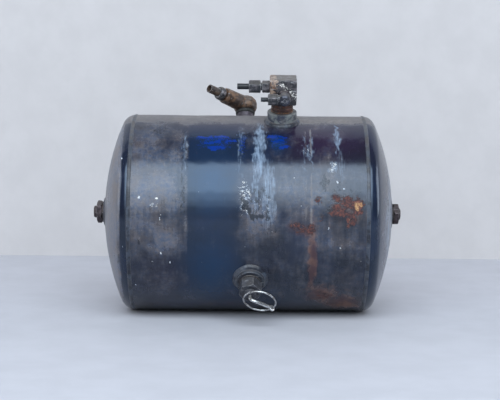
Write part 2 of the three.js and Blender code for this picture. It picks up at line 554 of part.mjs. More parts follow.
// The stem leaves the nose straight, cranks over to one side and ends in an eye round the ring.
function drainStem() {
  const foot = disc(5.4, along(DISC_BOTTOM - 2.2), along(DISC_BOTTOM - GAP), COARSE);
  const pin = disc(STEM_RADIUS, along(DISC_BOTTOM - 1), along(37), COARSE);
  const eye = ringPoint(RING_EYE_ANGLE);
  const inward = RING_CENTRE.clone().setZ(along(RING_CENTRE.z)).sub(eye).normalize();
  const neck = eye.clone().addScaledVector(inward, 2.9);
  const bend = new THREE.CatmullRomCurve3([
    new THREE.Vector3(0, 0, along(34)),
    new THREE.Vector3(0, 0, along(38)),
    new THREE.Vector3(4.5, 0, along(42.5)),
    new THREE.Vector3(13, -3.5, along(43.2)),
    neck,
  ]);
  const lever = wire(bend, STEM_RADIUS, 11, 8);
  return join(foot, pin, lever, stemEye(eye));
}

// A short ring of steel round the wire, standing square to it.
function stemEye(eye) {
  const tangent = RING_ACROSS.clone().multiplyScalar(-Math.sin(RING_EYE_ANGLE));
  tangent.addScaledVector(RING_DOWN, Math.cos(RING_EYE_ANGLE));
  const turn = new THREE.Quaternion().setFromUnitVectors(Z_AXIS, tangent);
  const matrix = new THREE.Matrix4().makeRotationFromQuaternion(turn).setPosition(eye);
  const hole = RING_WIRE_RADIUS + 0.5;
  const section = [[hole + 0.5, -1.6], [3.4, -1.6], [4, -0.8], [4, 0.8], [3.4, 1.6], [hole + 0.5, 1.6],
    [hole, 0.6], [hole, -0.6]];
  return moved(turned(section, COARSE), matrix);
}

class CoilCurve extends THREE.Curve {
  constructor(radius, low, high, turns) {
    super();
    Object.assign(this, { radius, low, high, turns });
  }
  getPoint(t, target = new THREE.Vector3()) {
    const angle = 2 * Math.PI * this.turns * t;
    const z = THREE.MathUtils.lerp(this.low, this.high, t);
    return target.set(this.radius * Math.cos(angle), this.radius * Math.sin(angle), z);
  }
}

// The pull ring as a turned hoop, so that it closes without a joint.
function pullRing() {
  const sides = 6;
  const section = [];
  for (let k = 0; k < sides; k++) {
    const angle = (2 * Math.PI * (k + 0.5)) / sides;
    section.push([RING_RADIUS + RING_WIRE_RADIUS * Math.cos(angle), RING_WIRE_RADIUS * Math.sin(angle)]);
  }
  const normal = RING_ACROSS.clone().cross(RING_DOWN);
  const basis = new THREE.Matrix4().makeBasis(RING_ACROSS, RING_DOWN, normal);
  basis.setPosition(RING_CENTRE.x, RING_CENTRE.y, along(RING_CENTRE.z));
  return moved(turned(section, 32), basis);
}

const drain = portGroup(DRAIN_PORT, "drain");
piece(drain, "drain_valve_body", drainBody(), DARK_STEEL);
const retainer = ringOf(4.2, DRAIN_CHAMBER_RADIUS - GAP, along(-10.5), along(-8.5), COARSE);
piece(drain, "drain_spring_retainer", retainer, BRIGHT_STEEL);
const coil = new CoilCurve(4.6, along(-7.4), along(DISC_BOTTOM - 3.3), 5);
piece(drain, "drain_spring", wire(coil, 0.55, 50, 5), BRIGHT_STEEL);
const seatDisc = ringOf(STEM_RADIUS + GAP, 6.4, along(DISC_BOTTOM), along(DISC_TOP), COARSE);
piece(drain, "drain_valve_disc", seatDisc, BLACK_RUBBER);
piece(drain, "drain_stem", drainStem(), BRIGHT_STEEL);
piece(drain, "drain_ring", pullRing(), BRIGHT_STEEL);

export default tank;
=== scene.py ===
# Used compressed-air receiver tank with its valve fittings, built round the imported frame.
# Metres in Blender. Shapes are worked out in millimetres and scaled once, when a piece is made.
import math
import bpy
import numpy as np
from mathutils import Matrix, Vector


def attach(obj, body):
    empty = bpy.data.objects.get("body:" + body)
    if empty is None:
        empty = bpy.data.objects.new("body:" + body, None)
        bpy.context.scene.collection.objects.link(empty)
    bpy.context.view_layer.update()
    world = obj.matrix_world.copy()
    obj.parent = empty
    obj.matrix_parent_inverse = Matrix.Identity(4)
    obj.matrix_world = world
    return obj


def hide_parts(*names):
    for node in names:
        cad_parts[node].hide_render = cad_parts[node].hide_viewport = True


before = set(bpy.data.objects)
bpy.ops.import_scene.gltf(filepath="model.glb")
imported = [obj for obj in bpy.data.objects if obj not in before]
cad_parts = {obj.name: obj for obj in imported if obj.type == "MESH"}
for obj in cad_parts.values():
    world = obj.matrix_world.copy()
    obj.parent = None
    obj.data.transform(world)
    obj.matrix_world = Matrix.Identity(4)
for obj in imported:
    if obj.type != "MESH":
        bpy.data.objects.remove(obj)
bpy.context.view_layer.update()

MM = 0.001
TAU = 2 * math.pi

# ---- Sizes, in millimetres ------------------------------------------------------------------
TANK_RADIUS = 137.7
WALL = 3.0
AXIS_HEIGHT = 137.705
SEAM_X = 159.0
HEAD_DEPTH = 43.0
CROWN_RADIUS = 318.0
KNUCKLE_RADIUS = 18.0
HEAD_HOLE = 18.2
STRAP_X = 83.0
END_BOSS_RADIUS = 18.0
SEAM_TURN = 104
SKIRT_INNER, SKIRT_OUTER, SKIRT_END = 131.8, 134.2, 149.0
PLUG_BORE = 11.2
THREAD_RADIUS = 10.7
PORT_FACE = 138.0
# Each port: place along the tank, turn from the top in degrees, and its boss's radius and height.
PORTS = {
    "manifold": (45.0, 17.0, 20.1, 14.5),
    "elbow": (-5.8, -30.0, 17.0, 8.0),
    "drain": (3.2, 124.0, 19.6, 8.4),
}


# ---- Frames ---------------------------------------------------------------------------------
class Seat:
    """A local frame in the tank's frame: a point p stands at origin + p.x X + p.y Y + p.z Z."""

    def __init__(self, origin, x, z):
        """z gives the Z axis, and x the side that X leans to."""
        self.origin = np.array(origin, float)
        z = np.array(z, float) / np.linalg.norm(z)
        x = np.array(x, float) - z * np.dot(x, z)
        x = x / np.linalg.norm(x)
        self.axes = np.array([x, np.cross(z, x), z])

    def world(self, points):
        """Points of this frame in the tank's frame."""
        return self.origin + np.asarray(points, float) @ self.axes

    def seat(self, origin, x, z):
        """A frame given in this one."""
        return Seat(self.world(origin), np.array(x, float) @ self.axes, np.array(z, float) @ self.axes)


def port_seat(name):
    """A port's frame: on the tank's axis, Z out through the port, X along the tank."""
    x, turn, _, _ = PORTS[name]
    t = math.radians(turn)
    return Seat((x, 0, AXIS_HEIGHT), (1, 0, 0), (0, -math.sin(t), math.cos(t)))


ALONG = Seat((0, 0, AXIS_HEIGHT), (0, -1, 0), (1, 0, 0))
MANIFOLD = port_seat("manifold")
ELBOW = port_seat("elbow")
DRAIN = port_seat("drain")
RIGHT_END = Seat((0, 0, AXIS_HEIGHT), (0, 0, -1), (1, 0, 0))
LEFT_END = Seat((0, 0, AXIS_HEIGHT), (0, 0, -1), (-1, 0, 0))
UPPER = MANIFOLD.seat((-17.3, 0, 187.5), (0, 0, 1), (-1, 0, 0))
FRONT = MANIFOLD.seat((2.6, -14, 178.5), (1, 0, 0), (0, -1, 0))
FRONT_BRANCH = FRONT.seat((0, 0, 15.5), (0, 0, 1), (-1, 0, 0))
ELBOW_BRANCH = Seat((-5.8, 86.8, 288.047), (0, 0, 1), (-0.727773, -0.593936, 0.342909))


# ---- Fields ---------------------------------------------------------------------------------
def waves(points, size, seed, count=9):
    """Smooth unevenness, about -1 to 1: the mean of count sine waves of random direction whose
    wavelengths lie round size, times sqrt(2 / count) so that its spread does not depend on count."""
    draw = np.random.default_rng(seed)
    total = np.zeros(points.shape[:-1])
    for _ in range(count):
        way = draw.normal(size=3)
        way = way / np.linalg.norm(way) * TAU / (size * draw.uniform(0.6, 1.6))
        total = total + np.sin(points @ way + draw.uniform(0, TAU))
    return total * math.sqrt(2 / count) * 0.7


def step(value, low, high):
    """0 below low, 1 above high, and 3t^2 - 2t^3 between."""
    t = np.clip((value - low) / (high - low), 0, 1)
    return t * t * (3 - 2 * t)


# ---- Surfaces -------------------------------------------------------------------------------
def grid_faces(rows, columns, closed):
    """Quads between neighbouring rows of a rows x columns grid whose columns run round.
    closed also joins the last row to the first."""
    i, j = np.meshgrid(np.arange(rows if closed else rows - 1), np.arange(columns), indexing="ij")
    ni, nj = (i + 1) % rows, (j + 1) % columns
    quads = np.stack([i * columns + j, i * columns + nj, ni * columns + nj, ni * columns + j], -1)
    return quads.reshape(-1, 4)


def softened(corners, arc=4, longest=None):
    """A profile of (r, z, f) corners: each is cut back by f along both its sides and bridged by the
    curve (1-t)^2 A + 2t(1-t) corner + t^2 B. Spans over longest get points between."""
    flat = np.array([c[:2] for c in corners], float)
    out = []
    for k, corner in enumerate(corners):
        cut = corner[2] if len(corner) > 2 else 0
        if not cut or k in (0, len(corners) - 1):
            out.append(flat[k])
            continue
        before, after = flat[k - 1] - flat[k], flat[k + 1] - flat[k]
        a = flat[k] + before / np.linalg.norm(before) * min(cut, np.linalg.norm(before) * 0.49)
        b = flat[k] + after / np.linalg.norm(after) * min(cut, np.linalg.norm(after) * 0.49)
        for t in np.linspace(0, 1, arc):
            out.append((1 - t) ** 2 * a + 2 * t * (1 - t) * flat[k] + t * t * b)
    points = [out[0]]
    for p in out[1:]:
        gap = np.linalg.norm(p - points[-1])
        pieces = max(1, math.ceil(gap / longest)) if longest else 1
        start = points[-1]
        points.extend(start + (p - start) * n / pieces for n in range(1, pieces + 1))
    return np.array(points)


def hexed(across, turn):
    """Distance from the axis to a hexagon's side in direction a: (across / 2) / cos(a'), where a' is
    the angle to the nearest flat's middle, held under the corner's rounding."""
    def outline(angle):
        """The distance in each direction."""
        off = (angle - math.radians(turn)) % (TAU / 6) - TAU / 12
        return np.minimum(across / 2 / np.cos(off), across / 2 / math.cos(TAU / 12) - 0.25)
    return outline


def turned(seat, profile, sides=72, outline=None, worn=0.0, seed=1):
    """A profile of (r, z) rows, anticlockwise, carried round the seat's Z axis. With an outline, a
    point's radius is the smaller of the profile's and the outline's. worn adds waves to the radius.
    A profile that starts and ends on the axis closes in two poles, and any other in a ring."""
    r, z = np.array(profile, float).T
    poles = r[0] < 1e-6 and r[-1] < 1e-6
    if poles:
        r, z, tips = r[1:-1], z[1:-1], (z[0], z[-1])
    elif np.allclose([r[0], z[0]], [r[-1], z[-1]]):
        r, z = r[:-1], z[:-1]
    angle = np.arange(sides) * TAU / sides
    radius = np.repeat(r[:, None], sides, 1)
    if outline is not None:
        radius = np.minimum(radius, outline(angle)[None, :])
    height = np.repeat(z[:, None], sides, 1)
    points = np.stack([radius * np.cos(angle), radius * np.sin(angle), height], -1)
    if worn:
        swell = 1 + worn * waves(points, 7.0, seed) / np.maximum(radius, 1.0)
        points[..., :2] *= swell[..., None]
        points[..., 2] += worn * 0.4 * waves(points, 9.0, seed + 50)
    rows = len(r)
    faces = grid_faces(rows, sides, closed=not poles).tolist()
    points = points.reshape(-1, 3)
    if poles:
        points = np.vstack([points, [[0, 0, tips[0]], [0, 0, tips[1]]]])
        low, high, last = rows * sides, rows * sides + 1, (rows - 1) * sides
        for j in range(sides):
            n = (j + 1) % sides
            faces.append((low, n, j))
            faces.append((high, last + j, last + n))
    return seat.world(points), faces


def wire(path, radius, sides=14, closed=False):
    """A round section carried along path: the frame at each point is the last one turned onto the
    new direction, so it never twists. radius may change along the path. Open ends get a dome, whose
    radius is r sqrt(1 - s^2) at the distance r s past the end."""
    path = np.array(path, float)
    count = len(path)
    radius = np.broadcast_to(np.array(radius, float), (count,)).copy()
    if not closed:
        share = np.array([0.0, 0.35, 0.7, 0.93])
        dome = np.sqrt(1 - share ** 2)
        start, end = path[0] - path[1], path[-1] - path[-2]
        first = path[0] + radius[0] * share[:0:-1, None] * start / np.linalg.norm(start)
        last = path[-1] + radius[-1] * share[1:, None] * end / np.linalg.norm(end)
        path = np.vstack([first, path, last])
        radius = np.concatenate([radius[0] * dome[:0:-1], radius, radius[-1] * dome[1:]])
        count = len(path)
    if closed:
        ahead = np.roll(path, -1, 0) - np.roll(path, 1, 0)
    else:
        ahead = np.gradient(path, axis=0)
    ahead = ahead / np.linalg.norm(ahead, axis=1)[:, None]
    side = np.cross(ahead[0], (0.31, 0.23, 0.92))
    sides_out = []
    for k in range(count):
        side = side - ahead[k] * np.dot(side, ahead[k])
        side = side / np.linalg.norm(side)
        sides_out.append(side)
    side = np.array(sides_out)
    other = np.cross(ahead, side)
    angle = np.arange(sides) * TAU / sides
    ring = side[:, None, :] * np.cos(angle)[None, :, None]
    ring = ring + other[:, None, :] * np.sin(angle)[None, :, None]
    points = (path[:, None, :] + ring * radius[:, None, None]).reshape(-1, 3)
    faces = grid_faces(count, sides, closed).tolist()
    if not closed:
        faces.append(tuple(range(sides))[::-1])
        faces.append(tuple((count - 1) * sides + np.arange(sides)))
    return points, faces


def edge_wear(mesh):
    """How convex the surface is at each vertex: the mean, over its edges, of the cosine between its
    normal and the way back along the edge. 0 is flat, about 0.3 a worn corner. The second result is
    how far each normal points up."""
    co = np.zeros(len(mesh.vertices) * 3, np.float32)
    mesh.vertices.foreach_get("co", co)
    co = co.reshape(-1, 3)
    normal = np.zeros(len(mesh.vertices) * 3, np.float32)
    mesh.vertex_normals.foreach_get("vector", normal)
    normal = normal.reshape(-1, 3)
    ends = np.zeros(len(mesh.edges) * 2, np.int32)
    mesh.edges.foreach_get("vertices", ends)
    a, b = ends.reshape(-1, 2).T
    back = co[a] - co[b]
    back = back / np.maximum(np.linalg.norm(back, axis=1), 1e-9)[:, None]
    total = np.bincount(a, (normal[a] * back).sum(1), len(co))
    total = total - np.bincount(b, (normal[b] * back).sum(1), len(co))
    return total / np.maximum(np.bincount(ends, minlength=len(co)), 1), normal[:, 2]


def piece(name, body, finish, shape, stands_for=(), crease=32, fields=None):
    """Makes the mesh, scales it to metres, gives it its finish and its body."""
    points, faces = shape
    mesh = bpy.data.meshes.new(name)
    mesh.from_pydata((np.asarray(points) * MM).tolist(), [], [tuple(map(int, f)) for f in faces])
    mesh.validate()
    mesh.update()
    marks = dict(zip(("edge", "up"), edge_wear(mesh)))
    marks.update(fields or {})
    for label, values in marks.items():
        layer = mesh.attributes.new(label, "FLOAT", "POINT")
        layer.data.foreach_set("value", values.astype(np.float32))
    mesh.shade_smooth()
    mesh.set_sharp_from_angle(angle=math.radians(crease))
    mesh.materials.append(finish)
    obj = bpy.data.objects.new(name, mesh)
    bpy.context.scene.collection.objects.link(obj)
    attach(obj, body)
    if stands_for:
        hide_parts(*stands_for)


# ---- Finishes -------------------------------------------------------------------------------
def colour(r, g, b):
    """A display colour, 0 to 255, as the linear one that a shader takes."""
    share = np.array([r, g, b]) / 255
    line = np.where(share <= 0.04045, share / 12.92, ((share + 0.055) / 1.055) ** 2.4)
    return (*line.tolist(), 1.0)


class Finish:
    """A material being put together. Each method adds one step and returns its output."""

    def __init__(self, name, metal=0.0, sheen=0.5):
        """An empty material that reads places on the piece itself."""
        self.material = bpy.data.materials.new(name)
        self.material.use_nodes = True
        self.tree = self.material.node_tree
        self.shader = self.tree.nodes["Principled BSDF"]
        self.shader.inputs["Metallic"].default_value = metal
        self.shader.inputs["Specular IOR Level"].default_value = sheen
        self.place = self.add("ShaderNodeTexCoord").outputs["Object"]

    def add(self, kind, **settings):
        """A node of that kind, with its settings."""
        made = self.tree.nodes.new(kind)
        for key, value in settings.items():
            setattr(made, key, value)
        return made

    def feed(self, socket, value):
        """Links an output to the socket, or sets a plain number or colour on it."""
        if isinstance(value, bpy.types.NodeSocket):
            self.tree.links.new(value, socket)
        else:
            socket.default_value = value

    def sum(self, a, b, operation="ADD"):
        """a + b, or another operation on the two."""
        made = self.add("ShaderNodeMath", operation=operation)
        self.feed(made.inputs[0], a)
        self.feed(made.inputs[1], b)
        return made.outputs[0]

    def times(self, a, b):
        """a b."""
        return self.sum(a, b, "MULTIPLY")

    def either(self, a, b):
        """The larger of a and b."""
        return self.sum(a, b, "MAXIMUM")

    def frayed(self, value, noise, amount):
        """value + amount (noise - 0.5), which makes the edge of a later span ragged."""
        return self.sum(value, self.times(self.sum(noise, -0.5), amount))

    def span(self, value, low, high, out_low=0.0, out_high=1.0):
        """value, taken smoothly from the range low..high to out_low..out_high."""
        made = self.add("ShaderNodeMapRange", interpolation_type="SMOOTHSTEP")
        for k, v in enumerate((value, low, high, out_low, out_high)):
            self.feed(made.inputs[k], v)
        return made.outputs[0]

    def blend(self, share, a, b):
        """The colour a where share is 0, b where it is 1."""
        made = self.add("ShaderNodeMix", data_type="RGBA")
        self.feed(made.inputs[0], share)
        self.feed(made.inputs[6], a)
        self.feed(made.inputs[7], b)
        return made.outputs[2]

    def cloud(self, size, detail=4.0, rough=0.6, stretch=(1, 1, 1), shift=0.0):
        """Soft noise, 0 to 1, whose blotches are size millimetres across, times stretch."""
        turn = self.add("ShaderNodeMapping")
        self.feed(turn.inputs["Vector"], self.place)
        turn.inputs["Scale"].default_value = [1 / k for k in stretch]
        turn.inputs["Location"].default_value = (shift, shift * 0.7, shift * 1.3)
        made = self.add("ShaderNodeTexNoise")
        self.feed(made.inputs["Vector"], turn.outputs[0])
        made.inputs["Scale"].default_value = 1 / (size * MM)
        made.inputs["Detail"].default_value = detail
        made.inputs["Roughness"].default_value = rough
        return made.outputs["Fac"]

    def grains(self, size, shift=0.0):
        """Distance to the nearest of many scattered points, size millimetres apart."""
        turn = self.add("ShaderNodeMapping")
        self.feed(turn.inputs["Vector"], self.place)
        turn.inputs["Location"].default_value = (shift, shift, shift)
        made = self.add("ShaderNodeTexVoronoi")
        self.feed(made.inputs["Vector"], turn.outputs[0])
        made.inputs["Scale"].default_value = 1 / (size * MM)
        return made.outputs["Distance"]

    def field(self, name):
        """The mesh's own value of that name at each vertex."""
        return self.add("ShaderNodeAttribute", attribute_name=name).outputs["Fac"]

    def done(self, base, roughness, height, depth, metallic=None):
        """Joins colour, roughness and a bump of depth millimetres to the shader."""
        self.feed(self.shader.inputs["Base Color"], base)
        self.feed(self.shader.inputs["Roughness"], roughness)
        if metallic is not None:
            self.feed(self.shader.inputs["Metallic"], metallic)
        bump = self.add("ShaderNodeBump")
        bump.inputs["Distance"].default_value = depth * MM
        bump.inputs["Strength"].default_value = 1.0
        self.feed(bump.inputs["Height"], height)
        self.feed(self.shader.inputs["Normal"], bump.outputs[0])
        return self.material


class VesselPaint(Finish):
    """Worn gloss black in layers. Each layer method lays its colour over base and returns its own
    share, 0 where the layer is missing, for the roughness and the bump."""

    def __init__(self):
        """The noises that several layers share, and the bare paint, plum or blue in places."""
        super().__init__("gloss_black_worn", sheen=0.6)
        self.broad = self.cloud(75, 3)
        self.patchy = self.cloud(24, 5, 0.6)
        self.spotty = self.cloud(5.5, 5, 0.68)
        self.fine = self.cloud(1.8, 4, 0.7)
        self.runs = self.cloud(6, 4, 0.6, (1, 2, 12))
        self.base = self.blend(self.span(self.broad, 0.35, 0.65), colour(26, 32, 50), colour(22, 24, 34))
        self.cover(self.times(self.field("purple"), 0.75), colour(46, 27, 52))
        self.cover(self.times(self.field("blue"), 0.9), colour(7, 45, 78))

    def cover(self, share, tone):
        """Lays tone over the base."""
        self.base = self.blend(share, self.base, tone)

    def haze_and_head_light(self):
        """Thin grey film in patches and faint runs, and over the heads' crowns a grey that is painted
        light, lighter higher up. It is thinner where the paint was kept clean and on the knuckles, whose
        dark is painted shade. Dark grit lies in it, and pale specks that are painted glints."""
        film_and_head_light = self.frayed(self.field("film_and_head_light"), self.patchy, 1.5)
        film_and_head_light = self.frayed(film_and_head_light, self.runs, 0.8)
        film_and_head_light = self.frayed(film_and_head_light, self.cloud(2.4, 4, 0.7, (6, 1, 1), shift=5.1), 0.3)
        film_and_head_light = self.sum(film_and_head_light, self.times(self.field("clean_and_knuckle_shade"), -0.5))
        film_and_head_light = self.span(film_and_head_light, -0.3, 1.05, 0.0, 0.72)
        tone = self.blend(self.span(self.spotty, 0.32, 0.68), colour(78, 90, 114), colour(120, 114, 116))
        warm = self.span(self.cloud(34, 5, 0.65, shift=6.6), 0.46, 0.62, 0, 0.75)
        self.cover(film_and_head_light, self.blend(warm, tone, colour(108, 96, 90)))
        grit = self.cloud(1.9, 5, 0.75, shift=8.8)
        self.cover(self.span(grit, 0.57, 0.68, 0, 0.65), colour(28, 28, 36))
        # Pale specks in the film are painted glints.
        self.cover(self.times(film_and_head_light, self.span(grit, 0.42, 0.3, 0, 0.7)), colour(150, 152, 158))
        return film_and_head_light

    def pale_streaks_and_reflection(self):
        """Chalky streaks that water left on its way down, and a pale strip on the right head's rim that
        is a painted reflection.
        """
        lines = self.cloud(2.2, 4, 0.65, (1, 5, 14), shift=2.2)
        pale = self.frayed(self.frayed(self.field("pale"), lines, 1.9), self.spotty, 0.6)
        pale = self.span(pale, 0.3, 1.4, 0, 0.64)
        self.cover(pale, colour(150, 170, 194))
        return pale

    def settled_dust(self):
        """Dust on what faces up and beside the straps."""
        dust = self.frayed(self.frayed(self.field("dust"), self.patchy, 1.0), self.fine, 0.8)
        dust = self.span(dust, 0.1, 1.05, 0, 0.85)
        grey = self.blend(self.span(self.spotty, 0.32, 0.68), colour(134, 128, 124), colour(106, 98, 97))
        grey = self.blend(self.span(self.broad, 0.4, 0.62, 0, 0.6), grey, colour(96, 92, 96))
        self.cover(dust, grey)
        return dust

    def crayon(self):
        """Blue crayon that skips over the paint's grain."""
        ink = self.frayed(self.field("ink"), self.cloud(2.2, 4, 0.7), 2.4)
        self.cover(self.span(ink, 0.4, 0.8, 0, 0.85), colour(4, 46, 132))

    def brown_stain(self):
        """Thin brown that rust has bled down the side."""
        stain = self.frayed(self.frayed(self.field("stain"), self.runs, 0.8), self.spotty, 0.6)
        stain = self.span(stain, 0.1, 1.0, 0, 0.72)
        brown = self.blend(self.span(self.patchy, 0.4, 0.6), colour(74, 44, 42), colour(116, 80, 62))
        self.cover(stain, brown)
        return stain

    def chips(self):
        """White chips, and small specks scattered about 17 mm apart."""
        chip = self.span(self.frayed(self.field("chip"), self.cloud(3.4, 6, 0.8), 3.4), 0.95, 1.1)
        speck = self.span(self.sum(self.grains(17), self.times(self.fine, 0.05)), 0.045, 0.07, 1, 0)
        speck = self.times(speck, self.span(self.patchy, 0.48, 0.62))
        chip = self.either(chip, self.times(speck, 0.6))
        white = self.blend(self.span(self.spotty, 0.4, 0.6), colour(184, 194, 208), colour(226, 224, 220))
        self.cover(chip, white)
        return chip

    def scuffs_and_shadow(self):
        """Black scratches, and one dark band on the shell's upper left that is a painted shadow."""
        scuff_and_shadow = self.frayed(self.field("black"), self.cloud(4, 5, 0.75, (1, 1, 2)), 3.6)
        scuff_and_shadow = self.span(scuff_and_shadow, 0.6, 0.85)
        self.cover(self.times(scuff_and_shadow, 0.85), colour(16, 16, 22))
        return scuff_and_shadow

    def rust(self):
        """Red-brown rust with a dark rim and pits, ochre where it is fresh."""
        seat = self.frayed(self.field("rust"), self.cloud(4.6, 7, 0.82), 3.2)
        rust = self.span(seat, 0.55, 0.75)
        self.cover(self.times(self.span(seat, 0.4, 0.55), 0.8), colour(38, 30, 34))
        pits = self.span(self.cloud(3.2, 6, 0.8, shift=4.4), 0.42, 0.58)
        old = self.blend(pits, colour(44, 25, 27), colour(106, 58, 46))
        fresh = self.blend(pits, colour(128, 82, 52), colour(196, 156, 108))
        ochre = self.frayed(self.field("ochre"), self.cloud(5, 6, 0.7, shift=9.1), 3)
        self.cover(rust, self.blend(self.span(ochre, 0.5, 0.8), old, fresh))
        return rust


def vessel_paint():
    """The layers from the paint up. Haze, with the heads' painted light, dust and streaks dull the gloss;
    chips and rust are dull and stand proud, and scuffs, with a painted shadow band, are cut in."""
    f = VesselPaint()
    film_and_head_light, pale, dust = f.haze_and_head_light(), f.pale_streaks_and_reflection(), f.settled_dust()
    f.crayon()
    stain, chip, scuff_and_shadow, rust = f.brown_stain(), f.chips(), f.scuffs_and_shadow(), f.rust()
    rough = f.sum(f.sum(0.12, f.times(film_and_head_light, 0.27)), f.sum(f.times(dust, 0.4), f.times(f.fine, 0.07)))
    rough = f.sum(rough, f.times(pale, 0.12))
    rough = f.either(rough, f.times(f.either(f.either(rust, chip), stain), 0.75))
    height = f.sum(f.sum(f.times(f.spotty, 0.16), f.times(f.fine, 0.1)), f.times(rust, 0.9))
    height = f.sum(height, f.sum(f.times(chip, 0.5), f.times(scuff_and_shadow, -0.35)))
    tint = f.blend(f.field("clean_and_knuckle_shade"), colour(228, 240, 255), colour(208, 230, 255))
    f.feed(f.shader.inputs["Specular Tint"], tint)
    return f.done(f.base, rough, height, 0.2)


def aged_metal(name, light, dark, dirt, rust=0.3, shine=0.45, wear=0.6, metal=0.7, depth=0.12, blotch=6,
               dusty=0.5):
    """Handled metal: two tones in blotches, dirt in the hollows, dust on top, rust in patches, bright
    worn edges. Where the piece has them, peel bares brown ground and flake leaves white chips."""
    f = Finish(name)
    blotchy = f.cloud(blotch, 5, 0.65)
    fine = f.cloud(1.1, 4, 0.7)
    scratch = f.cloud(2.5, 3, 0.6, (7, 0.6, 1.4))
    base = f.blend(f.span(blotchy, 0.42, 0.56), colour(*light), colour(*dark))
    hollows = f.span(f.cloud(blotch * 1.7, 4, 0.6, shift=3.1), 0.45, 0.7, 0, 0.85)
    base = f.blend(hollows, base, colour(*dirt))
    peel = f.span(f.frayed(f.field("peel"), f.cloud(2.8, 5, 0.7, shift=5.5), 3.0), 0.5, 0.7)
    ground = f.blend(f.span(blotchy, 0.42, 0.58), colour(162, 140, 124), colour(104, 74, 60))
    base = f.blend(peel, base, ground)
    dust = f.frayed(f.frayed(f.field("up"), blotchy, 1.3), fine, 0.8)
    dust = f.span(dust, 0.45, 1.15, 0, dusty)
    base = f.blend(dust, base, colour(146, 138, 132))
    seat = f.sum(f.cloud(blotch * 0.9, 6, 0.7, shift=7.7), rust - 0.5)
    rusty = f.span(seat, 0.42, 0.58)
    brown = f.blend(f.span(fine, 0.35, 0.65), colour(66, 42, 34), colour(116, 76, 54))
    base = f.blend(rusty, base, brown)
    edge = f.times(f.span(f.frayed(f.field("edge"), fine, 0.5), 0.1, 0.24), wear)
    nick = f.times(f.span(scratch, 0.63, 0.7), wear)
    flake = f.span(f.frayed(f.field("flake"), f.cloud(2.6, 5, 0.7, shift=1.7), 3.4), 0.95, 1.1)
    bright = f.either(f.either(edge, nick), flake)
    base = f.blend(bright, base, f.blend(flake, colour(176, 176, 178), colour(232, 228, 222)))
    clear = f.sum(1.0, f.either(f.either(rusty, dust), f.either(flake, peel)), "SUBTRACT")
    rough = f.sum(f.sum(shine, f.times(fine, 0.22)), f.times(f.either(rusty, dust), 0.4))
    rough = f.sum(rough, f.times(bright, -0.16))
    height = f.sum(f.times(fine, 0.5), f.sum(f.times(blotchy, 0.4), f.times(rusty, 0.5)))
    return f.done(base, rough, height, depth, f.times(clear, metal))


def rubbery(name, tone, grey, shine, depth=0.06):
    """Dull black rubber or nylon with dust in patches and fine grain."""
    f = Finish(name)
    patchy = f.cloud(5, 4, 0.6)
    fine = f.cloud(0.8, 3, 0.6)
    base = f.blend(f.span(patchy, 0.42, 0.7, 0, 0.6), colour(*tone), colour(*grey))
    rough = f.sum(shine, f.times(fine, 0.3))
    return f.done(base, rough, f.sum(fine, f.times(patchy, 0.5)), depth)


FINISHES = {
    "vessel_paint": vessel_paint(),
    "boss_paint": aged_metal("boss_black_dusty", (112, 116, 116), (44, 50, 66), (78, 76, 80),
                             rust=0.2, shine=0.36, metal=0.1, wear=0.5, blotch=11, dusty=0.35),
    "weld_paint": aged_metal("weld_black", (58, 66, 80), (24, 28, 40), (66, 68, 76),
                             rust=0.2, shine=0.26, metal=0.1, wear=0.2, blotch=13, dusty=0.3),
    "dark_steel": aged_metal("plug_dark_steel", (84, 74, 78), (50, 44, 48), (62, 53, 52),
                             rust=0.2, shine=0.4, wear=0.35, dusty=0.3),
    "rusty_steel": aged_metal("stud_rusty_steel", (92, 62, 54), (58, 40, 38), (50, 42, 42),
                              rust=0.42, shine=0.6, wear=0.2, metal=0.3),
    "grey_zinc": aged_metal("block_grey_zinc", (96, 92, 96), (38, 40, 46), (58, 56, 58),
                            rust=0.24, shine=0.26, wear=0.95, metal=0.4, blotch=8),
    "bronze_fitting": aged_metal("elbow_brown", (112, 86, 68), (64, 49, 42), (56, 50, 50),
                                 rust=0.2, shine=0.36, wear=0.4, metal=0.3, blotch=9),
    "bright_steel": aged_metal("wire_bright_steel", (216, 218, 220), (160, 160, 162), (104, 98, 92),
                               rust=0.14, shine=0.16, wear=0.7, metal=0.95, blotch=5),
    "copper_seal": aged_metal("washer_copper", (132, 88, 62), (84, 58, 44), (60, 48, 42),
                              rust=0.35, shine=0.45, wear=0.5, metal=0.7),
    "brass_ferrule": aged_metal("ferrule_brass", (176, 148, 92), (128, 100, 58), (82, 68, 50),
                                rust=0.15, shine=0.35, wear=0.5, metal=0.8),
    "black_rubber": rubbery("seal_rubber", (20, 20, 21), (58, 56, 56), 0.55),
    "black_nylon": rubbery("tube_nylon", (12, 14, 20), (38, 42, 52), 0.26),
}
# Pieces that have aged differently from the rest of their slot.
AGED = {
    "drain_body": aged_metal("valve_dark_grey", (74, 76, 84), (46, 48, 56), (56, 54, 58),
                             rust=0.2, shine=0.34, wear=0.6, metal=0.3, dusty=0.2),
    "drain_washer": aged_metal("washer_dull", (70, 60, 58), (44, 42, 46), (52, 48, 50),
                               rust=0.2, shine=0.4, wear=0.5, metal=0.4),
    "drain_boss_ring": aged_metal("boss_low_dark", (58, 64, 74), (36, 40, 50), (52, 50, 56),
                                  rust=0.2, shine=0.34, wear=0.4, metal=0.1, dusty=0.2),
    "elbow_swivel_stud": aged_metal("stud_plum_grey", (82, 74, 84), (50, 45, 54), (60, 56, 60),
                                    rust=0.2, shine=0.4, wear=0.5, metal=0.3),
    "elbow_tube": aged_metal("tube_end_tan", (70, 56, 50), (40, 34, 34), (96, 78, 66),
                             rust=0.2, shine=0.4, wear=1.0, metal=0.0, blotch=4),
    "front_hub": aged_metal("hub_dark", (78, 80, 92), (38, 40, 50), (60, 58, 62),
                            rust=0.2, shine=0.26, wear=0.7, metal=0.4, blotch=5),
}


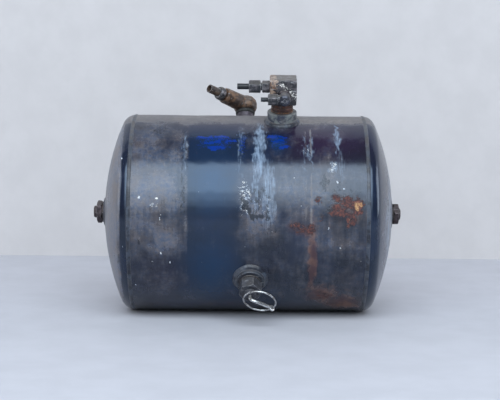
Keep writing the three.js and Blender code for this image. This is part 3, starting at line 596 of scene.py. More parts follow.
# ---- Marks on the vessel --------------------------------------------------------------------
# Places round the tank are in degrees up from FRONT_LIFT above the front, so that 84 is the top. ARC is
# how many millimetres of the shell a degree spans.
FRONT_LIFT = 6
ARC = 2.4
# Each mark: middle along the tank in mm, middle round it, half its length in mm, half its height in
# degrees, and strength.
MARKS = {
    "rust": [
        (116.9, 8.6, 7.9, 2.8, 0.8), (130.7, 5.8, 8, 3.4, 0.9), (143.8, 3.9, 9.6, 4.2, 0.95),
        (118.1, 1.1, 11.5, 2.4, 0.8), (135.3, -3.2, 7.6, 4, 0.8), (92.5, 7.2, 4, 1.8, 0.65),
        (97, -3, 5, 3, 0.5), (76.7, -9, 12, 2.4, 0.72), (104.3, -54, 13.6, 3.6, 0.6),
        (60.8, -7.4, 11.2, 1.4, 0.55), (-60, 150, 14, 6, 0.8), (40, 195, 20, 7, 0.7),
        (110, 130, 10, 4, 0.7),
    ],
    "ochre": [
        (145, 4.2, 6.5, 2.8, 0.8), (80, -10.4, 7, 1.6, 0.4), (131, -5.5, 5, 2, 0.4),
    ],
    "stain": [
        (85.6, -28.4, 4.8, 21, 1.15), (99.3, -53.8, 20.6, 7.6, 1.1), (130.5, -63.1, 24.5, 9.1, 1.1),
        (74.7, -9.9, 14, 3.6, 0.9), (60.8, -7.4, 13.2, 2, 0.6), (130, 2, 24, 8, 0.5),
        (-60, 148, 16, 14, 0.5), (40, 190, 22, 14, 0.5), (-20, -66, 60, 6, 0.3),
    ],
    "pale": [
        (14.9, 41.9, 7.4, 21, 0.95), (26.9, 10.5, 8.9, 18.2, 0.75), (119.1, 48.2, 4, 14, 0.85),
        (-11, 40, 4.5, 20, 0.55), (8.5, 22, 3, 26, 0.7), (74, 38, 2.5, 16, 0.6),
        (123.7, 27, 4.7, 9.9, 0.5), (-85.7, 39.2, 3.4, 12, 0.7), (83.4, 41.1, 2, 16.5, 0.7),
        (77.8, 37, 8.7, 4.7, 0.55), (112.4, 26.4, 8, 3.4, 0.7), (-176, 50, 3, 34, 0.5),
        (-183, 10, 3, 24, 0.4), (20, 150, 12, 22, 0.6), (-110, 160, 10, 18, 0.6),
    ],
    "film_and_head_light": [
        (-114.8, 12.5, 21.8, 14.3, 0.9), (-145, 12.5, 16, 26, 0.7), (10.7, -4.1, 24.4, 8.3, 0.9),
        (74.7, 8, 33, 15.7, 0.5), (-138, 42, 30, 14, 0.75), (-100, 34, 12, 18, 0.5),
        (-110, -16, 24, 14, 0.8), (110, -22, 40, 20, 0.35),
    ],
    "chip": [
        (-125.1, 3.7, 9.9, 1.2, 0.9), (-5.8, 9.1, 8.9, 11.1, 0.85), (3.4, 5.4, 17.5, 4.8, 0.6),
        (18, 4, 16, 8, 0.55), (30, -6, 14, 6, 0.5), (128, 3, 22, 8, 0.45), (112.4, 26.4, 6, 3.6, 0.85),
        (77.8, 37, 6.5, 4.2, 0.72), (107.7, -9.3, 1.3, 1.9, 1.3), (115.9, 17.6, 2.6, 1.7, 0.8),
        (132.6, 4.7, 4, 1.1, 0.6),
    ],
    "black": [
        (-88.2, 6.4, 3.3, 8.9, 0.7), (-82.2, 37.8, 1.3, 10.8, 0.7), (-8, 6.6, 3.6, 2, 1.35),
        (-3.5, 3.6, 3.8, 2.1, 1.4), (1, 0.8, 3.8, 2.1, 1.4), (5, -2, 3.6, 2, 1.4),
        (12, -2.5, 6, 1.4, 1.1), (24, 1, 2, 3, 1), (16, 6, 14, 9, 0.55), (25.8, -1.6, 5.3, 1.9, 0.6),
        (100.7, 17.3, 5.6, 4.8, 0.8), (112, 4, 12, 4, 0.6), (-146.3, -16.9, 1.7, 1.7, 0.9),
        # The mark at -124.2 along and 53.1 round is a painted shadow, not a scratch.
        (27.2, -9.6, 7.9, 2.2, 0.5), (-124.2, 53.1, 14.9, 2.4, 0.5), (143.2, 2, 4, 1.6, 0.5),
        (-172, -24, 3, 12, 0.7), (126, 12, 18, 8, 0.45),
    ],
    "clean_and_knuckle_shade": [
        (-46.4, 27.3, 32.6, 23.8, 1), (-52.7, -35.8, 30.8, 27.1, 0.9), (65.4, 42.7, 44.4, 14.3, 0.6),
        (137.3, 42.7, 20.8, 14.3, 0.8), (-127.3, 45.2, 35, 8.6, 0.6),
    ],
    "blue": [
        (-50, -38, 34, 22, 0.8), (-48, 32, 60, 24, 0.45), (20, -60, 60, 14, 0.4),
        (-50, 16, 26, 14, 0.9), (38, 44, 13, 7, 1), (-50, 44, 20, 6, 0.8), (-11, 42, 5, 9, 0.8),
        (15, 34, 16, 20, 0.5),
    ],
    "purple": [
        (100, 48, 60, 15, 0.9), (-30, 60, 80, 7, 0.5), (-110, -40, 30, 14, 0.3),
    ],
}
SOFT_MARKS = ("film_and_head_light", "clean_and_knuckle_shade", "blue", "purple", "stain")
# Single white chips: place along and round the tank.
SPECKS = [
    (-145.6, 7.6), (-116.1, -2.8), (-116.1, -24.1), (-103.5, -28.4), (-129.6, -28.2), (-151.2, -45.8),
    (-122.4, 7.2), (116.8, 17.6), (-168.5, 32), (-166, -20), (151, 22), (128, 13), (120.7, -19),
    (131.9, -4.9), (62.1, 20.4), (69.3, 3.7),
]
# Blue crayon: short plain strokes, each from one place to another, and the smudges under them.
STROKES = [
    (-67, 47, -51, 48), (-60, 43, -38, 44), (-45, 48, -30, 47), (-52, 39, -34, 40), (-29, 44, -19, 45),
    (27, 48, 36, 48), (32, 44, 45, 45), (42, 49, 52, 48), (44, 40, 53, 41),
]
SMUDGES = [(40, 44.5, 12, 5.5), (-46, 44, 24, 4.5), (-9, 42, 5, 7)]
SMUDGE_STRENGTH = 0.52
STROKE_WIDTH = 2.8
# Dust lines beside the straps: place, half width and strength.
STRAP_LINES = [(-STRAP_X - 0.5, 3.0, 0.5), (STRAP_X, 1.3, 0.9), (STRAP_X - 7, 1.0, 0.5)]
# The long black scratch beside the left strap.
LEFT_SCRATCH_X = -88.5


def tank_places(points):
    """Where each point is: along the tank in mm, and round it in degrees from FRONT_LIFT above the
    front, up over the top to the back. The last two are the same, bent by waves."""
    straight = points[:, 0]
    level = np.degrees(np.arctan2(points[:, 2] - AXIS_HEIGHT, -points[:, 1])) - FRONT_LIFT
    level = level % 360
    level = np.where(level > 250, level - 360, level)
    return straight, level, straight + 2.0 * waves(points, 14, 5), level + 0.9 * waves(points, 11, 6)


def spread_marks(marks, x, angle, soft):
    """The strongest mark at each point. With q the squared distance from a mark's middle in half
    lengths and half heights, a crisp one is its strength times 1.3 - 0.65 q, held to 0..1, and a soft
    one its strength times exp(-0.8 q)."""
    total = np.zeros(len(x))
    for middle_x, middle_angle, half_x, half_angle, strength in marks:
        q = ((x - middle_x) / half_x) ** 2 + ((angle - middle_angle) / half_angle) ** 2
        near = np.exp(-0.8 * q) if soft else np.clip(1.3 - 0.65 * q, 0, 1)
        total = np.maximum(total, strength * near)
    return total


def crayon_ink(x, angle):
    """1.4 minus the distance to the nearest stroke in stroke widths, and under the strokes smudges
    exp(-0.5 (u^4 + v^4)), with u and v the distances in half lengths and half heights."""
    ink = np.zeros(len(x))
    for x0, a0, x1, a1 in STROKES:
        along, up = x1 - x0, (a1 - a0) * ARC
        t = np.clip(((x - x0) * along + (angle - a0) * ARC * up) / (along ** 2 + up ** 2), 0, 1)
        gap = np.hypot(x - x0 - t * along, (angle - a0) * ARC - t * up)
        ink = np.maximum(ink, np.clip(1.4 - gap / STROKE_WIDTH, 0, 1))
    for middle_x, middle_angle, half_x, half_angle in SMUDGES:
        far = ((x - middle_x) / half_x) ** 4 + ((angle - middle_angle) / half_angle) ** 4
        ink = np.maximum(ink, SMUDGE_STRENGTH * np.exp(-0.5 * far))
    return ink


def dust_layer(points, straight, angle):
    """Dust from 57 degrees up over the top, thinner on the back and gone on the heads, and in broken
    lines exp(-(d / w)^2) beside the straps."""
    dust = step(angle, 57, 70) * (1 - 0.5 * step(angle, 110, 150))
    dust = dust * (1 - step(np.abs(straight), 162, 178))
    broken = step(waves(points, 30, 9), -0.8, 0.3) * step(angle, -14, -6) * (1 - step(angle, 62, 66))
    for place, wide, strength in STRAP_LINES:
        dust = np.maximum(dust, strength * np.exp(-((straight - place) / wide) ** 2) * broken)
    return dust


def clean_places_and_knuckle_shade(points, straight, angle):
    """The clean panel beside the left strap, whose right edge is ragged, and both heads' knuckles, kept
    dark as painted shade.
    """
    ragged = straight + 9 * waves(points, 26, 17)
    panel = step(straight, -83, -79) * (1 - step(ragged, -26, 2))
    panel = panel * step(angle, -60, -30) * (1 - step(angle, 58, 64))
    left, right = 1 - step(-straight, 169, 173), 1 - step(straight, 176, 180)
    return np.maximum(panel, step(np.abs(straight), 160, 162) * np.where(straight < 0, left, right))


def vessel_marks(points):
    """The fields that the vessel's finish reads, for points in mm."""
    straight, level, x, angle = tank_places(points)
    fields = {label: spread_marks(marks, x, angle, label in SOFT_MARKS) for label, marks in MARKS.items()}
    specks = spread_marks([(*speck, 1.3, 0.6, 1.6) for speck in SPECKS], x, angle, False)
    fields["chip"] = np.maximum(fields["chip"], specks)
    fields["ink"] = crayon_ink(x, angle)
    fields["dust"] = dust_layer(points, straight, angle)
    fields["clean_and_knuckle_shade"] = np.maximum(fields["clean_and_knuckle_shade"], clean_places_and_knuckle_shade(points, straight, angle))
    outer = straight + 2.5 * waves(points, 60, 23) + 1.2 * waves(points, 17, 24)
    # Grey over the heads' crowns, beyond the knuckles, is painted light, a little lighter higher up: all
    # of the left crown and the right one's rim.
    head_painted_light = np.where(straight < 0, step(-straight, 168, 172), 0.5 * step(outer, 180, 187))
    head_painted_light = head_painted_light * (0.85 + 0.16 * waves(points, 60, 14) + 0.1 * step(level, 20, 90))
    # Less film from 12 degrees below the front downwards, so the lower side stays darker.
    fields["film_and_head_light"] = np.maximum(fields["film_and_head_light"] - 0.6 * step(angle, -12, -46), head_painted_light)
    scratch = np.exp(-((straight - LEFT_SCRATCH_X) / 1.4) ** 2)
    scratch = 0.75 * scratch * step(angle, -10, 0) * (1 - step(angle, 52, 58))
    fields["black"] = np.maximum(fields["black"], scratch)
    # A faint blue on the right knuckle, where the crown's painted light stops, is painted shade.
    fields["blue"] = np.maximum(fields["blue"], 0.12 * step(straight, 160, 163) * (1 - head_painted_light))
    # A pale strip over the right head's rim is a painted reflection.
    fields["pale"] = np.maximum(fields["pale"], 0.75 * step(outer, 181, 191))
    return fields


# ---- Vessel ---------------------------------------------------------------------------------
def dented(points):
    """Moves points of the vessel in and out by low waves, and in by 0.22 mm where a strap sat. Where
    it stands on the floor it stays as it is."""
    out = points - np.array([0, 0, AXIS_HEIGHT])
    out[:, 0] = 0
    out = out / np.maximum(np.linalg.norm(out, axis=1), 1e-6)[:, None]
    depth = 0.16 * waves(points, 85, 11) + 0.035 * waves(points, 17, 12) - 0.16
    for strap in (-STRAP_X, STRAP_X):
        near = np.abs(points[:, 0] - strap)
        depth = depth - 0.22 * (1 - step(near, 11.0, 13.5))
    low = step(-points[:, 2], -6.0, -1.5)
    return points + out * (depth * (1 - low))[:, None]


def vessel_shell():
    """A turned tube: outside in rows 1.4 mm apart, both rims and inside."""
    end, inner = SEAM_X - 2.5, TANK_RADIUS - WALL
    rows = [(TANK_RADIUS, z) for z in np.linspace(-end, end, 232)]
    profile = [(inner, -end), *rows, (inner, end), (inner, 0), (inner, -end)]
    points, faces = turned(ALONG, profile, 400)
    return dented(points), faces


def head_profile(offset, steps):
    """The knuckle's arc from the shell in, then the crown's arc that it touches, to the boss's hole.
    offset is how far inside the outer face the profile runs."""
    crown, knuckle = CROWN_RADIUS - offset, KNUCKLE_RADIUS - offset
    centre = SEAM_X + HEAD_DEPTH - CROWN_RADIUS
    across = TANK_RADIUS - KNUCKLE_RADIUS
    meet = math.asin(across / (CROWN_RADIUS - KNUCKLE_RADIUS))
    lift = centre + (CROWN_RADIUS - KNUCKLE_RADIUS) * math.cos(meet)
    bend = np.linspace(math.pi / 2, meet, steps)
    arc = np.linspace(meet, math.asin(HEAD_HOLE / crown), 3 * steps)[1:]
    first = np.stack([across + knuckle * np.sin(bend), lift + knuckle * np.cos(bend)], 1)
    second = np.stack([crown * np.sin(arc), centre + crown * np.cos(arc)], 1)
    return np.vstack([first, second]).tolist()


def vessel_head(seat):
    """A turned dish: skirt, knuckle, crown, hole edge and the inside back to the skirt."""
    skirt = [(SKIRT_INNER, SKIRT_END), (SKIRT_OUTER, SKIRT_END), (SKIRT_OUTER, SEAM_X + 2),
             (TANK_RADIUS, SEAM_X + 2.2)]
    profile = skirt + head_profile(0, 12) + head_profile(WALL, 4)[::-1] + [skirt[0]]
    return turned(seat, profile, 180)


def girth_bead(seat):
    """A turned bead 5 mm wide that stands 0.55 mm proud, with ripples |sin| a few mm apart."""
    across = np.linspace(-2.6, 2.6, 9)
    crest = TANK_RADIUS - 0.2 + 0.75 * (1 - (across / 2.6) ** 2)
    profile = [(134.6, SEAM_X - 2.4), *zip(crest, SEAM_X + across), (134.6, SEAM_X + 2.4)]
    profile.append(profile[0])
    points, faces = turned(seat, profile, 1100)
    local = points - np.array([0, 0, AXIS_HEIGHT])
    turn = np.arctan2(local[:, 1], local[:, 2])
    radius = np.hypot(local[:, 1], local[:, 2])
    proud = step(radius, TANK_RADIUS - 0.1, TANK_RADIUS + 0.5)
    lean = 0.5 * np.abs(np.sin(turn * 130 + 0.5 * np.abs(local[:, 0]) % 1))
    flat = 1 - step(-points[:, 2], -5.0, -1.0) * proud
    scale = 1 + (proud * (lean - 0.3) * 0.5 * flat - 0.6 * (1 - flat)) / radius
    local[:, 1:] *= scale[:, None]
    return local + np.array([0, 0, AXIS_HEIGHT]), faces


def saddle_bead(seat, boss_radius, rise, run, seed):
    """A fillet round a boss where it meets the shell. The foot follows z = sqrt(R^2 - (r sin a)^2);
    the face bulges by 0.9 mm times 4t(1-t) and ripples round the boss."""
    sides, steps = 240, 9
    a = np.arange(sides) * TAU / sides
    wide = run + 0.5 * waves(np.stack([a * 8, a * 0, a * 0], -1), 7, seed)

    def surface(r):
        """The shell's height at the distance r from the port's axis."""
        return np.sqrt(TANK_RADIUS ** 2 - (r * np.sin(a)) ** 2)

    rows = [(boss_radius - 0.6 + 0 * a, surface(boss_radius + wide) - 3),
            (boss_radius + wide - 0.5, surface(boss_radius + wide) - 3)]
    ripple = 0.9 + 0.28 * np.abs(np.sin(a * boss_radius * 0.55))
    for t in np.linspace(0, 1, steps):
        r = boss_radius - 0.1 + wide * (1 - t)
        z = (surface(boss_radius + wide) - 0.1) * (1 - t) + (surface(boss_radius) + rise) * t
        bulge = ripple * 4 * t * (1 - t)
        rows.append((r + bulge * 0.7, z + bulge * 0.6))
    points = np.stack([np.stack([r * np.cos(a), r * np.sin(a), z], -1) for r, z in rows])
    return seat.world(points.reshape(-1, 3)), grid_faces(len(rows), sides, True).tolist()


def seam_bead():
    """The shell's lengthwise weld on the back: a low bead along X whose height is 1.1 mm times
    1 - (s / 3.2)^2, rippled along its length and sunk 1 mm at its foot."""
    turn = math.radians(SEAM_TURN)
    seat = Seat((0, 0, AXIS_HEIGHT), (1, 0, 0), (0, math.sin(turn), math.cos(turn)))
    x = np.linspace(-151, 151, 500)
    s = np.linspace(-3.2, 3.2, 11)
    xs, ss = np.meshgrid(x, s, indexing="ij")
    lift = 1.1 * (1 - (ss / 3.2) ** 2) * (1 + 0.25 * np.abs(np.sin(xs * 1.1 + 0.3 * ss ** 2)))
    top = np.stack([xs, ss, np.sqrt(TANK_RADIUS ** 2 - ss ** 2) - 0.15 + lift], -1)
    foot = np.stack([x, 0 * x, 0 * x + TANK_RADIUS - 1.2], -1)[:, None, :]
    ring = np.concatenate([top, foot], 1)
    columns = ring.shape[1]
    faces = grid_faces(len(x), columns, False).tolist()
    faces.append(tuple(range(columns))[::-1])
    faces.append(tuple((len(x) - 1) * columns + np.arange(columns)))
    return seat.world(ring.reshape(-1, 3)), [tuple(q)[::-1] for q in faces]


def make(name, body, slot, shape, *stands_for, crease=32, fields=None):
    """A piece in its slot's finish, or in its own if it has aged differently."""
    piece(name, body, AGED.get(name, FINISHES[slot]), shape, stands_for, crease, fields)


def make_painted(name, shape, *stands_for):
    """A piece of the vessel, with the vessel's marks."""
    fields = vessel_marks(np.asarray(shape[0]))
    piece(name, "tank", FINISHES["vessel_paint"], shape, stands_for, 40, fields)


# A profile's corner is its distance from the seat's axis, its height along it and its rounding. The
# heights are from the tank's middle or, at a port, from the tank's axis.
make_painted("shell_skin", vessel_shell(), "tank_shell")
for side, seat, face, tip, dome, turn in (
    ("left", LEFT_END, 204.5, 4.6, 0.8, 8),
    ("right", RIGHT_END, 202.8, 3.0, 3.0, 21),
):
    make_painted(side + "_dished_head", vessel_head(seat), side + "_head")
    make(side + "_girth_bead", "tank", "weld_paint", girth_bead(seat), side + "_girth_weld", crease=60)
    crown = SEAM_X + HEAD_DEPTH
    fillet = softened([(17.6, crown - 4), (22.8, crown - 4), (22.8, crown - 0.9),
                       (21.0, crown + 0.7, 0.8), (18.4, min(crown + 2.2, face - 0.4), 0.3),
                       (17.6, face - 0.5), (17.6, crown - 4)], longest=1)
    make(side + "_boss_bead", "tank", "weld_paint", turned(seat, fillet, 96, worn=0.25, seed=4),
         side + "_boss_weld")
    boss = softened([(PLUG_BORE, face - 18), (END_BOSS_RADIUS, face - 18), (END_BOSS_RADIUS, face, 1),
                     (PLUG_BORE + 0.8, face, 0.8), (PLUG_BORE, face - 0.8), (PLUG_BORE, face - 18)])
    make(side + "_boss_ring", "tank", "dark_steel", turned(seat, boss, 96), side + "_end_boss")
    low = face + 2.1
    high = low + 7.6
    plug = softened([(0, face - 15), (THREAD_RADIUS, face - 15, 1), (THREAD_RADIUS, low), (13.7, low),
                     (16.3, low + 1.5, 0.3), (16.3, high - 1.5, 0.3), (13.4, high, 0.4), (8.5, high, 0.3),
                     (8.5, high + tip * 0.6, 1), (8.5 - dome, high + tip, 0.8), (0, high + tip)],
                    longest=0.7)
    make(side + "_blanking_plug", "tank", "dark_steel",
         turned(seat, plug, 96, hexed(28, turn), worn=0.12, seed=8), side + "_plug")
make("back_seam_bead", "tank", "weld_paint", seam_bead(), "seam_weld", crease=60)

# ---- Port bosses ----------------------------------------------------------------------------
for port, seat, rise, run in (("manifold", MANIFOLD, 4.4, 4.4), ("elbow", ELBOW, 4.0, 4.2),
                              ("drain", DRAIN, 4.6, 4.6)):
    _, _, radius, height = PORTS[port]
    top = PORT_FACE + height
    profile = softened([(PLUG_BORE, 130), (radius, 130), (radius, top, 1.4), (PLUG_BORE + 0.8, top, 0.8),
                        (PLUG_BORE, top - 0.8), (PLUG_BORE, 130)], arc=5, longest=2)
    make(port + "_boss_ring", "tank", "boss_paint", turned(seat, profile, 96, worn=0.1, seed=3),
         port + "_boss")
    make(port + "_saddle_bead", "tank", "weld_paint", saddle_bead(seat, radius, rise, run, 21),
         port + "_boss_weld", crease=60)
    washer = softened([(11.5, top + 0.3), (15.2, top + 0.3, 0.4), (15.2, top + 1.8, 0.4),
                       (11.5, top + 1.8), (11.5, top + 0.3)])
    make(port + "_washer", "tank", "copper_seal", turned(seat, washer, 72), port + "_seal")


# ---- Manifold block and its fittings --------------------------------------------------------
def rounded_plan(width, depth, corner, arc=7, side=12):
    """Points round a rectangle with corners of that radius, anticlockwise."""
    w, d = width / 2 - corner, depth / 2 - corner
    out = []
    for k, (sx, sy) in enumerate(((1, -1), (1, 1), (-1, 1), (-1, -1))):
        turn = np.linspace(-math.pi / 2, 0, arc) + k * math.pi / 2
        out.append(np.stack([sx * w + corner * np.cos(turn), sy * d + corner * np.sin(turn)], 1))
    ring = np.vstack(out)
    ahead = np.roll(ring, -1, 0)
    points = []
    for a, b in zip(ring, ahead):
        pieces = side if np.linalg.norm(b - a) > 4 * corner else 1
        points.extend(a + (b - a) * n / pieces for n in range(pieces))
    return np.array(points)


def block_body(seat, middle, size, low, corner, worn, seed):
    """A rectangular block: its plan at each level, drawn in by c (1 - sin t) at the height c (1 - cos t)
    over the bottom edge, likewise at the top, and shrunk to the middle on the flat faces. worn adds
    waves."""
    width, depth, height = size
    plan = rounded_plan(width, depth, corner)
    bottom = [(share, corner, low) for share in (0.02, 0.35, 0.7)]
    for t in np.linspace(0, math.pi / 2, 5):
        bottom.append((1.0, corner * (1 - math.sin(t)), low + corner * (1 - math.cos(t))))
    walls = [(1.0, 0.0, low + corner + (height - 2 * corner) * t) for t in np.linspace(0, 1, 12)[1:-1]]
    top = [(share, inset, 2 * low + height - z) for share, inset, z in bottom[::-1]]
    rings = []
    for share, inset, z in bottom + walls + top:
        scale = np.array([1 - 2 * inset / width, 1 - 2 * inset / depth]) * share
        rings.append(np.column_stack([plan * scale, np.full(len(plan), z)]))
    points = np.stack(rings) + np.array([*middle, 0])
    points = points + worn * np.stack([waves(points, 12, seed + k) for k in range(3)], -1)
    sides = len(plan)
    faces = grid_faces(len(rings), sides, False).tolist()
    faces.append(tuple(range(sides))[::-1])
    faces.append(tuple((len(rings) - 1) * sides + np.arange(sides)))
    return seat.world(points.reshape(-1, 3)), faces


def nut_profile(across, low, high, bore=0.0, mouth=0.0):
    """A hexagon's turned envelope, its corners taken off at 30 degrees; with a bore it is a ring."""
    flat, rim = across / 2 - 0.2, across / 2 / math.cos(TAU / 12)
    drop = (rim - flat) * math.tan(TAU / 12)
    outer = [(flat, low, 0.1), (rim, low + drop), (rim, high - drop), (flat, high, 0.2)]
    if not bore:
        return softened([(0, low), *outer, (0, high)], longest=0.5)
    inner = [(mouth, high, 0.2), (bore, high - 1.2), (bore, low)]
    return softened([(bore, low), *outer, *inner], longest=0.5)


stud = softened([(4, 134), (THREAD_RADIUS, 134), (THREAD_RADIUS, 154.6), (14.5, 154.6, 0.3),
                 (15, 155.2, 0.3), (15, 160, 0.8), (8, 160), (8, 172.3), (4, 172.3), (4, 134)],
                longest=1.5)
make("manifold_swivel_stud", "tank", "rusty_steel", turned(MANIFOLD, stud, 96, worn=0.14, seed=2),
     "manifold_stud")
thrust = softened([(8.3, 160.3), (13.8, 160.3, 0.6), (13.8, 164.2, 0.6), (8.3, 164.2), (8.3, 160.3)],
                  longest=1)
make("manifold_washer_ring", "tank", "rusty_steel", turned(MANIFOLD, thrust, 96, worn=0.12, seed=5),
     "manifold_thrust_ring")


def block_marks(points):
    """Peeled paint over the upper left of the block, and chips along a falling diagonal: 1.2 minus the
    distance from its line over 7 mm."""
    x, _, z = ((points - MANIFOLD.origin) @ MANIFOLD.axes.T).T
    peel = step(x, -2, -12) * step(z, 172, 180)
    flake = np.clip(1.2 - np.abs((z - 190) * 0.72 + (x - 4) * 0.69) / 7, 0, 0.95) * step(196 - z, -6, 0)
    return {"peel": 0.8 * peel, "flake": flake}


block = block_body(MANIFOLD, (1, 0), (36.6, 28, 36), 164.5, 1.8, 0.12, 31)
make("manifold_body", "manifold", "grey_zinc", block, "manifold_block", fields=block_marks(block[0]))
coupling = softened([(0, 0.1), (7.3, 0.1, 0.1), (8.7, 0.9), (8.7, 9.6), (7.3, 10.4, 0.2), (5.4, 10.4),
                     (5.4, 12.4), (0, 12.4)], longest=0.5)
make("upper_hex", "manifold", "grey_zinc",
     turned(UPPER, coupling, 96, hexed(15, 12), worn=0.06, seed=6), "upper_coupling_body")
make("upper_nut", "manifold", "grey_zinc",
     turned(UPPER, nut_profile(16, 12.5, 28.6, 4.3, 5.6), 96, hexed(16, 0), worn=0.08, seed=7),
     "upper_union_nut")
tube = softened([(3, 17), (4, 17), (4, 44.5, 0.25), (3, 44.5, 0.25), (3, 17)], longest=2)
make("upper_tube", "manifold", "black_nylon", turned(UPPER, tube, 48), "upper_tube_stub")
make("front_hex", "manifold", "dark_steel",
     turned(FRONT, nut_profile(17, 0.1, 5.5), 96, hexed(17, 5), worn=0.06, seed=9), "front_elbow_stud")
hub = softened([(0, 5.8), (7.6, 5.8), (8, 6.2, 0.2), (8, 20, 1.4), (7, 21.8, 0.8), (5, 23, 0.8),
                (2.2, 23), (1.8, 22.5, 0.2), (0, 22.4)], longest=1)
make("front_hub", "front_elbow", "grey_zinc", turned(FRONT, hub, 72, worn=0.08, seed=10),
     "front_elbow_body")
neck = softened([(0, 1), (6.2, 1), (6.2, 9, 0.5), (0, 9)], longest=1)
make("front_neck", "front_elbow", "grey_zinc", turned(FRONT_BRANCH, neck, 60, worn=0.05, seed=11))
make("front_nut", "front_elbow", "grey_zinc",
     turned(FRONT_BRANCH, nut_profile(14, 9.3, 22.5, 3.3, 4.4), 96, hexed(14, 30), worn=0.07, seed=12),
     "front_elbow_nut")
tube = softened([(2, 12.4), (3, 12.4), (3, 32.2, 0.25), (2, 32.2, 0.25), (2, 12.4)], longest=2)
make("front_tube", "front_elbow", "black_nylon", turned(FRONT_BRANCH, tube, 40), "front_tube_stub")

# ---- Rear swivel elbow ----------------------------------------------------------------------
stud = softened([(4.5, 134), (THREAD_RADIUS, 134), (THREAD_RADIUS, 148.1), (12.3, 148.1, 0.4),
                 (12.3, 160.1, 0.6), (8, 160.1), (8, 174), (4.5, 174), (4.5, 134)], longest=1.5)
make("elbow_swivel_stud", "tank", "grey_zinc", turned(ELBOW, stud, 96, worn=0.05, seed=13), "elbow_stud")
ring = softened([(8.5, 160.4), (12.4, 160.4), (12.4, 157.2, 0.3), (13.4, 157.2, 0.4), (14.2, 160.4, 0.5),
                 (12.8, 162.8, 0.4), (8.5, 162.8), (8.5, 160.4)], arc=5)
make("elbow_scraper", "tank", "black_rubber", turned(ELBOW, ring, 72), "elbow_dust_ring")
knuckle = softened([(0, 163.1), (13.2, 163.1, 0.8), (16, 166.1, 1.2), (17, 170.6, 1.5), (17, 175.1, 1.5),
                    (15.4, 180.1, 1.5), (11.5, 184.1, 1.5), (0, 184.7)], longest=1.5)
make("elbow_knuckle", "elbow", "bronze_fitting", turned(ELBOW, knuckle, 96, worn=0.22, seed=14),
     "elbow_body")
branch = softened([(0, 4), (12.6, 4), (12.3, 14), (11.3, 42.2, 0.6), (10.3, 43.2, 0.4), (7.8, 43.2),
                   (7.8, 52), (0, 52)], longest=1.5)
make("elbow_branch", "elbow", "bronze_fitting", turned(ELBOW_BRANCH, branch, 84, worn=0.18, seed=15))
collar = softened([(7.9, 46), (9.2, 46, 0.4), (9.8, 47, 0.4), (9.8, 51.9, 0.6), (8.2, 54.3, 0.5),
                   (6.3, 54.3), (6.3, 52.9), (7.9, 52.6), (7.9, 46)], longest=1)
make("elbow_collar_ring", "elbow", "grey_zinc", turned(ELBOW_BRANCH, collar, 72, worn=0.05, seed=16),
     "elbow_collar")
tube = softened([(4.5, 34), (6, 34), (6, 71.5, 0.3), (4.5, 71.5, 0.3), (4.5, 34)], longest=2)
make("elbow_tube", "elbow", "black_nylon", turned(ELBOW_BRANCH, tube, 60), "elbow_tube_stub")

# ---- Drain valve ----------------------------------------------------------------------------
thread = [(0, 126), (THREAD_RADIUS, 126), (THREAD_RADIUS, 148.5)]
hexagon = nut_profile(27, 148.5, 166)[1:-1]
mouth = softened([(8, 166), (8, 171, 0.6), (7, 172, 0.3), (4.6, 172, 0.2), (3.6, 170.6), (0, 170.6)],
                 longest=0.7)
valve = np.vstack([thread, hexagon, mouth])
make("drain_body", "tank", "dark_steel", turned(DRAIN, valve, 96, hexed(27, 15), worn=0.12, seed=17),
     "drain_valve_body")


def bent(points, steps):
    """A smooth line through points: on each span 0.5 (2b + (c-a)t + (2a-5b+4c-d)t^2 + (3b-a-3c+d)t^3)."""
    p = np.array(points, float)
    p = np.vstack([2 * p[0] - p[1], p, 2 * p[-1] - p[-2]])
    t = np.linspace(0, 1, steps, endpoint=False)[:, None]
    out = []
    for a, b, c, d in zip(p, p[1:], p[2:], p[3:]):
        out.append(0.5 * (2 * b + (c - a) * t + (2 * a - 5 * b + 4 * c - d) * t ** 2
                          + (3 * b - a - 3 * c + d) * t ** 3))
    return np.vstack([*out, p[-2:-1]])


# The pull ring's frame: X points across the hanging ring, and Y down it.
RING_RADIUS = 21.5
RING_ACROSS = np.array([0.985, -0.133, 0.112])
RING_DOWN = np.array([-0.104, -0.967, -0.233])
HOOP = DRAIN.seat((12.5, 0.4, 181), RING_ACROSS, np.cross(RING_ACROSS, RING_DOWN))
hoop_turn = np.linspace(0, TAU, 120, endpoint=False)
hoop = np.stack([RING_RADIUS * np.cos(hoop_turn), RING_RADIUS * np.sin(hoop_turn),
                 0.25 * np.sin(3 * hoop_turn)], 1)
make("drain_pull_ring", "drain_ring", "bright_steel", wire(HOOP.world(hoop), 1.2, 14, True), "drain_ring")
eye_turn = math.radians(33.9)
eye = HOOP.world((RING_RADIUS * math.cos(eye_turn), RING_RADIUS * math.sin(eye_turn), 0))
inward = (HOOP.origin - eye) / np.linalg.norm(HOOP.origin - eye)
LEVER = [(0, 0, 166), (0, 0, 172), (0, 0, 176), (4.5, 0, 180.5), (13, -3.5, 181.2)]
lever = bent([*DRAIN.world(LEVER), eye + inward * 2.9], 8)
make("drain_lever", "drain_stem", "bright_steel", wire(lever, 2.2, 18), "drain_stem")
EYE = Seat(eye, inward, HOOP.world((-math.sin(eye_turn), math.cos(eye_turn), 0)) - HOOP.origin)
loop = softened([(2.2, -1.6), (3.4, -1.6, 0.5), (4, -0.8, 0.4), (4, 0.8, 0.4), (3.4, 1.6, 0.5),
                 (2.2, 1.6), (1.7, 0.6), (1.7, -0.6), (2.2, -1.6)])
make("drain_lever_eye", "drain_stem", "bright_steel", turned(EYE, loop, 48))

